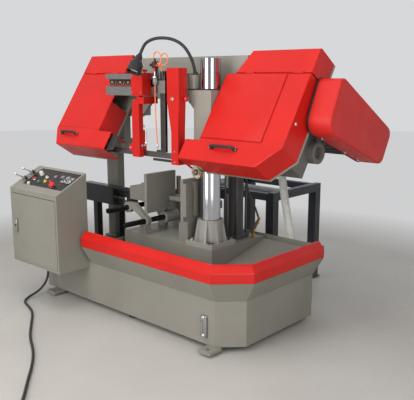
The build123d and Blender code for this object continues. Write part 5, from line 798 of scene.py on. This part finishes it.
# Coolant valve, sight bowl, nozzle and their orange tubes
COOLANT_X, COOLANT_Y = 121, -223
TUBE_RADIUS = 3.2
block_piece("coolant_strip", (108, -210, 1330), (130, -202, 1506), 1.5, dark_steel, "bow")
valve = block_piece("coolant_valve", (108, -236, 1468), (134, -210, 1504), 4, black_plastic, "bow")
COOLANT_PIECES = [
    ("valve_tap", [(0, 8), (4, 9), (10, 9), (13, 7), (16, 4)], red_plastic, (134, 1482), RIGHT, 20),
    ("valve_stem", [(0, 7), (6, 7), (6, 5.5), (16, 5.5), (16, 7.5), (22, 7.5), (24, 5)], black_plastic,
     (108, 1486), LEFT, 20),
    ("valve_nut", [(0, 8), (8, 8), (10, 6), (18, 6)], black_plastic, (COOLANT_X, 1504), UP, 6),
    ("valve_union", [(0, 6), (5, 7.5), (12, 7.5), (14, 6), (20, 6)], red_plastic, (118, 1448), UP, 16),
    ("sight_cap", [(0, 9), (2, 13), (9, 13), (11, 9)], bright_zinc, (COOLANT_X, 1413), UP, 28),
    ("sight_bowl", [(0, 6), (4, 10), (10, 12), (35, 12), (38, 10)], sight_glass, (COOLANT_X, 1376), UP, 28),
    ("sight_core", [(0, 3.5), (4, 6), (24, 6), (30, 3)], dark_steel, (COOLANT_X, 1381), UP, 16),
    ("sight_pipe", [(0, 4), (26, 4)], bright_zinc, (COOLANT_X, 1424), UP, 16),
    ("coolant_nozzle", [(0, 2.6), (10, 3.2), (14, 5.5), (26, 5.5), (29, 4.4)], bright_zinc,
     (134, 1016), UP, 20)]
for name, steps, finish, (x, z), way, sides in COOLANT_PIECES:
    turned_piece(name, steps, finish, "bow", along((x, COOLANT_Y, z), way), sides=sides)
TUBE_DOWN = [(121, -223, 1378), (121, -223, 1350), (123, -225, 1290), (126, -226, 1200), (130, -225, 1110),
             (133, -223, 1070), (134, -223, 1042)]
TUBE_LOOP = [(112, -223, 1502), (111, -223, 1522), (119, -224, 1548), (143, -226, 1560), (168, -226, 1548),
             (178, -225, 1518), (168, -224, 1490), (144, -223, 1482)]
TUBE_FEED = [(134, -217, 1496), (156, -216, 1486), (184, -215, 1482), (208, -214, 1492), (217, -213, 1516),
             (208, -211, 1540), (184, -209, 1550), (160, -207, 1540), (150, -206, 1516), (153, -206, 1478),
             (160, -206, 1440)]
for name, route, lay in (("coolant_tube", TUBE_DOWN, "hanging"), ("coolant_loop", TUBE_LOOP, "loose"),
                         ("coolant_feed", TUBE_FEED, "loose")):
    round_cord(name, route, TUBE_RADIUS, orange_tube, "bow", far_end="object", stiffness="medium", lay=lay)
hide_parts("coolant_line")
block_piece("tube_clip", (150, -212, 1432), (172, -200, 1446), 2, dark_steel, "bow")

# Rail scale: black band with coloured marks and a red line
SCALE_X, SCALE_FACE = (-423, 190), -108
block_piece("rail_scale", (SCALE_X[0], SCALE_FACE, 1371), (SCALE_X[1], -106, 1405), 0.4, black_plastic, "bow")
block_piece("rail_red_line", (SCALE_X[0], -108.6, 1364.5), (SCALE_X[1], -106, 1370.5), 0.4, red_plastic,
            "bow")
for colour, start in ((yellow_plastic, -395), (red_plastic, -357)):
    mark = block_piece("mark", (-8, -1.2, -4.5), (8, 0, 4.5), 0.5, colour, None)
    places = [Matrix.Translation(mm(start + 76 * step, SCALE_FACE, 1388)) for step in range(8)]
    repeated("scale_marks_" + colour.name, mark, places, "bow")
tick = block_piece("tick", (-0.9, -0.6, -4), (0.9, 0, 4), 0.2, white_plastic, None)
places = [Matrix.Translation(mm(-420 + 19 * step, SCALE_FACE, 1376)) for step in range(32)]
repeated("scale_ticks", tick, places, "bow")

# Bolts, knobs and pipe on the guide arms, a black strip of painted shade under the blade, the blade flap, and
# the drive door's panel and screw
ARM_FACE = -204
repeated("fixed_arm_bolt", hex_bolt(8.5, 6), [along((236, ARM_FACE, 1300), FRONT)], "bow")
turned_piece("fixed_arm_knob", [(0, 6), (8, 6), (8, 12), (11, 14), (20, 14), (24, 11), (25, 5)], red_plastic,
             "bow", along((288, -160, 1300), RIGHT), sides=24)
turned_piece("fixed_foot_knob", [(0, 6), (6, 6), (6, 13), (9, 15), (18, 14), (20, 9)], black_plastic, "bow",
             along((281, -176, 978), RIGHT), sides=24)
repeated("fixed_foot_bolts", cap_screw(5, 4), [along((254, ARM_FACE, z), FRONT) for z in (950, 1010)], "bow")
turned_piece("slider_knob", [(0, 5), (6, 5), (6, 12), (9, 15), (17, 15), (21, 11), (22, 5)], red_plastic,
             "sliding_guide_arm", along((-24, -168, 1443), UP), sides=24)
slider_seats = [along((x, ARM_FACE, z), FRONT) for x in (-93, -21) for z in (1330, 1426)]
repeated("slider_screws", cap_screw(5, 4), slider_seats, "sliding_guide_arm")
guide_seats = [along((-41, y, 1022), RIGHT) for y in (-182, -160)] + [along((-122, ARM_FACE, 1006), FRONT)]
repeated("guide_bolts", hex_bolt(6.5, 5), guide_seats, "sliding_guide_arm")
block_piece("slider_clamp", (-103, -206, 1294), (-58, -203.4, 1311), 1, belt_rubber, "sliding_guide_arm")
GUIDE_PIPE = [(-34, -158, 1030), (-34, -158, 1078), (-34, -158, 1106), (-38, -158, 1122), (-54, -158, 1138),
              (-68, -158, 1152), (-74, -158, 1166)]
bent_bar("guide_pipe", GUIDE_PIPE, 4.4, white_plastic, "sliding_guide_arm")
turned_piece("guide_pipe_nut", [(0, 7), (8, 7), (9, 6)], bright_zinc, "sliding_guide_arm",
             along((-34, -158, 1034), UP), sides=6)
# Painted shade: a black strip standing for the blade's shadowed tooth edge
block_piece("blade_shade_strip", (45, -177, 940), (222, -171.6, 955), 1, belt_rubber, "bow")
cut_plate("blade_flap", [(-313, -40), (-246, -30), (-246, 42), (-262, 66), (-313, 76)], (58, 62), 1.2,
          belt_rubber, "idler_door", WHEELS)
turned_piece("door_screw", [(0, 10), (2, 10), (5, 8), (7, 4)], bright_zinc, "drive_door",
             along((985, -92, 1193), RIGHT), sides=24)
block_piece("door_panel", (439, 94, 84.6), (847, 494, 89.6), 3.6, guard_red, "drive_door", WHEELS, steps=3)

# Column wipers, and the lift cylinder's hose unions, tie rods and head
COLUMN = (366, -29)
WIPER = [(0, 67), (5, 67), (8, 63), (8, 58.4), (0, 58.4), (0, 67)]
turned_piece("upper_wiper", WIPER, belt_rubber, "bow", along((*COLUMN, 1348), UP), sides=64, ring=True)
turned_piece("lower_wiper", WIPER, belt_rubber, "bow", along((*COLUMN, 1045), DOWN), sides=64, ring=True)
ELBOW = Vector((470, 252, 520))
UNION_FOOT = Vector((455, 254, 463))
elbow_way = ELBOW - Vector(LIFT_ROUTE[-1])
turned_piece("lift_union_top", [(0, 13), (8, 13), (9, 10), (22, 10), (22, 12), (36, 12), (42, 9)], brass,
             "base", along((417, 196, 844), RIGHT), sides=6)
turned_piece("lift_ferrule", [(-14, 6.2), (-12, 8), (20, 8), (22, 11), (36, 11), (37, 8), (78, 8)], brass,
             "base", along(LIFT_ROUTE[-1], elbow_way), sides=16, smooth=30)
turned_piece("lift_union_foot", [(0, 15), (10, 15), (11, 11), (24, 11), (25, 9), (52, 9), (58, 6)], brass,
             "base", along(UNION_FOOT, ELBOW - UNION_FOOT), sides=6)
BARREL = Vector((371, 192))
TIE_SPREAD = (-44, 44)
tie_rod = turned_piece("tie_rod", [(0, 5), (1, 6), (422, 6), (422, 10), (430, 10), (430, 6), (432, 5)],
                       dark_steel, None, sides=12)
tie_places = [Matrix.Translation(mm(BARREL.x + x, BARREL.y + y, 484)) for x in TIE_SPREAD for y in TIE_SPREAD]
repeated("lift_tie_rods", tie_rod, tie_places, "base")
head_place = Matrix.Translation(mm(BARREL.x, BARREL.y, 886)) @ Matrix.Rotation(math.pi / 4, 4, "Z")
turned_piece("lift_head", [(0, 74), (17, 74), (20, 70), (20, 33), (0, 33), (0, 74)], barrel_grey, "base",
             head_place, sides=4, ring=True)

# Gearbox collar, belt cover's seal (a black band, partly painted shadow) and screws, and the motor's terminal
# box
turned_piece("gear_collar", [(0, 60), (6, 60), (9, 56), (9, 38), (6, 34), (0, 34), (0, 60)], casting_grey,
             "bow", along((966, 144, 1030), RIGHT), sides=48, ring=True)
COVER_CORNERS = [(90, 1430), (-38, 1160), (540, 938), (644, 1124)]
COVER_ROUNDS = (42, 78, 48, 48)
SIDEWAYS = Matrix(((0, 0, 1, 0), (1, 0, 0, 0), (0, 1, 0, 0), (0, 0, 0, 1)))
# The seal's black band is partly painted shadow along the cover's edge
seal_and_shadow_outside = rounded_outline(COVER_CORNERS, COVER_ROUNDS, 2.5)
seal_and_shadow_inside = rounded_outline(COVER_CORNERS, COVER_ROUNDS, -8)
cut_ring("cover_seal_and_shadow", seal_and_shadow_outside, seal_and_shadow_inside, (995, 1003.4), belt_rubber, "bow", SIDEWAYS)
LOWER_EDGE = (0, -0.358, -0.933)
(high_y, high_z), (low_y, low_z) = COVER_CORNERS[1:3]
rise = (high_z - low_z) / (low_y - high_y)
cover_seats = [along((1022, y, low_z + (low_y - y) * rise), LOWER_EDGE) for y in (470, 326, 90)]
repeated("cover_screws", hex_bolt(7, 5), cover_seats, "bow")
block_piece("terminal_box", (700, 455, 1158), (800, 555, 1214), 6, motor_alloy, "bow")
turned_piece("terminal_gland", [(0, 14), (8, 14), (10, 11), (24, 10)], black_plastic, "bow",
             along((700, 505, 1188), LEFT), sides=6)

# Level gauge on the tank's front
block_piece("level_gauge", (609, -380, 68), (651, -365.5, 192), 5, hard_chrome, "base", steps=3)
block_piece("level_window", (621, -382, 92), (639, -378, 168), 1.5, sight_glass, "base")
block_piece("level_tube", (626, -381, 94), (634, -378.5, 166), 1, black_plastic, "base")
repeated("level_bolts", hex_bolt(8, 5), [along((630, -380, z), FRONT) for z in (80, 180)], "base")

# Height trip: rod on the bow and its switch on a post
bent_bar("trip_rod", [(304, 190, 1170), (304, 190, 1060), (304, 190, 900), (304, 190, 770)], 6, hard_chrome,
         "bow")
block_piece("trip_post", (270, 196, 463), (292, 214, 716), 2, bow_grey, "base")
block_piece("trip_switch", (262, 172, 690), (292, 196, 752), 4, table_slate, "base")

# Controls on the console: buttons in their collars, stop head, flow knob, fixed fittings and two levers
PANEL = -3
STOP_AT, FLOW_AT = (-498, 84), (-716, 168)


def on_console(x, v):
    """A frame on the console's panel."""
    return CONSOLE @ Matrix.Translation(mm(x, v, PANEL))


COLLAR = [(0, 15.5), (6, 15.5), (8, 14), (8, 11.2), (0, 11.2), (0, 15.5)]
for name, x, v, finish in (("start", -735, 66, white_plastic), ("stop", -735, 116, red_plastic)):
    button = turned_piece(name + "_cap", [(0, 4.8), (4, 4.8), (4, 9.6), (12.6, 9.6), (14, 8.4), (13.4, 5)],
                          finish, name + "_button", on_console(x, v), sides=28)
    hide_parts(name + "_button")
    turned_piece(name + "_collar", COLLAR, hard_chrome, "base", on_console(x, v), sides=28, ring=True)
MUSHROOM = [(0, 8.6), (8, 8.6), (8, 15), (9, 19), (12, 20), (16, 19.6), (20, 17), (22.4, 11), (23, 4)]
mushroom = turned_piece("e_stop_head", MUSHROOM, red_plastic, "e_stop", on_console(*STOP_AT), sides=36)
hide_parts("e_stop")
turned_piece("e_stop_nut", [(0, 17), (1.4, 17), (1.4, 9.4), (0, 9.4), (0, 17)], hard_chrome, "base",
             on_console(*STOP_AT), sides=28, ring=True)
knob = turned_piece("flow_grip", [(0.5, 14), (3, 15), (18, 14), (24, 13), (28, 11.5), (28.3, 4)],
                    white_plastic, "flow_knob", on_console(*FLOW_AT), sides=12, smooth=30)
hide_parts("flow_knob")
block_piece("flow_pointer", (-717.4, 168, 24.9), (-714.6, 181, 26.2), 0.4, black_plastic, "flow_knob",
            CONSOLE)
PILOT = [(0, 11), (4, 11), (5, 9.5), (5, 8), (11, 7.6), (13.5, 5.5), (14.4, 2)]
CONSOLE_FITTINGS = [
    ("pilot_yellow", PILOT, yellow_plastic, (-612, 112), 24),
    ("pilot_red", PILOT, red_plastic, (-556, 116), 24),
    ("pilot_white", PILOT, white_plastic, (-640, 150), 24),
    ("pilot_green", PILOT, green_plastic, (-668, 100), 24),
    ("key_switch", [(0, 13), (5, 13), (6, 11), (10, 10), (10, 5), (9, 3)], hard_chrome, (-566, 168), 28),
    ("feed_valve", [(0, 13), (10, 13), (12, 10), (18, 9), (18, 15), (30, 14.5), (33, 10)], hard_chrome,
     (-452, 150), 28),
    ("pressure_valve", [(0, 11), (8, 11), (9, 8), (15, 8), (15, 12), (25, 12), (27, 8)], bright_zinc,
     (-408, 160), 24)]
for name, steps, finish, spot, sides in CONSOLE_FITTINGS:
    turned_piece(name, steps, finish, "base", on_console(*spot), sides=sides)
block_piece("valve_block", (-478, 128, PANEL), (-384, 186, 2), 2, bright_zinc, "base", CONSOLE)
LEAN = math.radians(80)
LEVER_PIVOT, LEVER_BALL = 16, 94
BALL = [(LEVER_BALL, 4), (97, 7.6), (101, 9.6), (106, 10), (111, 8.8), (114.5, 5.6), (115.8, 2)]
lever_way = Vector((-math.sin(LEAN), 0, math.cos(LEAN)))
for name, x, v in (("lever_a", -800, 92), ("lever_b", -800, 158)):
    pivot = CONSOLE @ along((x, v, LEVER_PIVOT), (0, 1, 0))
    leaning = CONSOLE @ along((x, v, LEVER_PIVOT), lever_way)
    hub = turned_piece(name + "_hub", [(-6.6, 10), (-5.4, 11.8), (5.4, 11.8), (6.6, 10)], dark_steel, name,
                       pivot, sides=28)
    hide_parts(name)
    turned_piece(name + "_pin", [(-12, 3), (-11.6, 3.9), (11.6, 3.9), (12, 3)], bright_zinc, name, pivot,
                 sides=16)
    turned_piece(name + "_rod", [(8, 4.6), (30, 4.6), (34, 6), (38, 6), (42, 4.4), (LEVER_BALL, 4)],
                 hard_chrome, name, leaning, sides=18)
    turned_piece(name + "_ball", BALL, white_plastic, name, leaning, sides=24)

# Cabinet latch and door seal
latch = block_piece("latch_plate", (-807, -603.6, 444), (-785, -590.6, 534), 4, hard_chrome, "door_latch")
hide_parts("door_latch")
turned_piece("latch_key", [(0, 8), (1.5, 8), (2, 6.5), (1.6, 2.5)], dark_steel, "door_latch",
             along((-796, -603.6, 489), FRONT), sides=20)
block_piece("door_seal", (-841, -588.6, 695.4), (-375, -586, 698.6), 0.6, belt_rubber, "base")

# Tie round the coiled lead
TIE_SIZE, TIE_MIDDLE = (60, 22, 33.5), (82, 0, COIL_PITCH)
TIE_ROUND, TIE_THICK = 9, 1.2
tie_turn = coil_angle + math.pi
tie_place = Matrix.Translation(mm(coil_axis.x, coil_axis.y, 0)) @ Matrix.Rotation(tie_turn, 4, "Z")
deselect()
bpy.ops.mesh.primitive_cube_add(size=1)
tie = bpy.context.object
tie.scale = mm(*TIE_SIZE)
tie.location = mm(*TIE_MIDDLE)
place_into_mesh()
for edge in tie.data.edges:
    near, far = (tie.data.vertices[number].co.y for number in edge.vertices)
    edge.select = abs(near - far) > 0.01
for face in tie.data.polygons:
    face.select = False
bpy.context.tool_settings.mesh_select_mode = (False, True, False)
bpy.ops.object.mode_set(mode="EDIT")
bpy.ops.mesh.bevel(offset=TIE_ROUND * MM, segments=5, profile=0.5, affect="EDGES")
close_mesh()
for face in tie.data.polygons:
    face.select = abs(face.normal.y) > 0.9
bpy.context.tool_settings.mesh_select_mode = (False, False, True)
bpy.ops.object.mode_set(mode="EDIT")
bpy.ops.mesh.delete(type="FACE")
close_mesh()
band = tie.modifiers.new("band", "SOLIDIFY")
band.thickness = TIE_THICK * MM
band.offset = 1
take(tie)
bpy.ops.object.modifier_apply(modifier=band.name)
settle(tie, "cord_tie", belt_rubber, "base", tie_place)
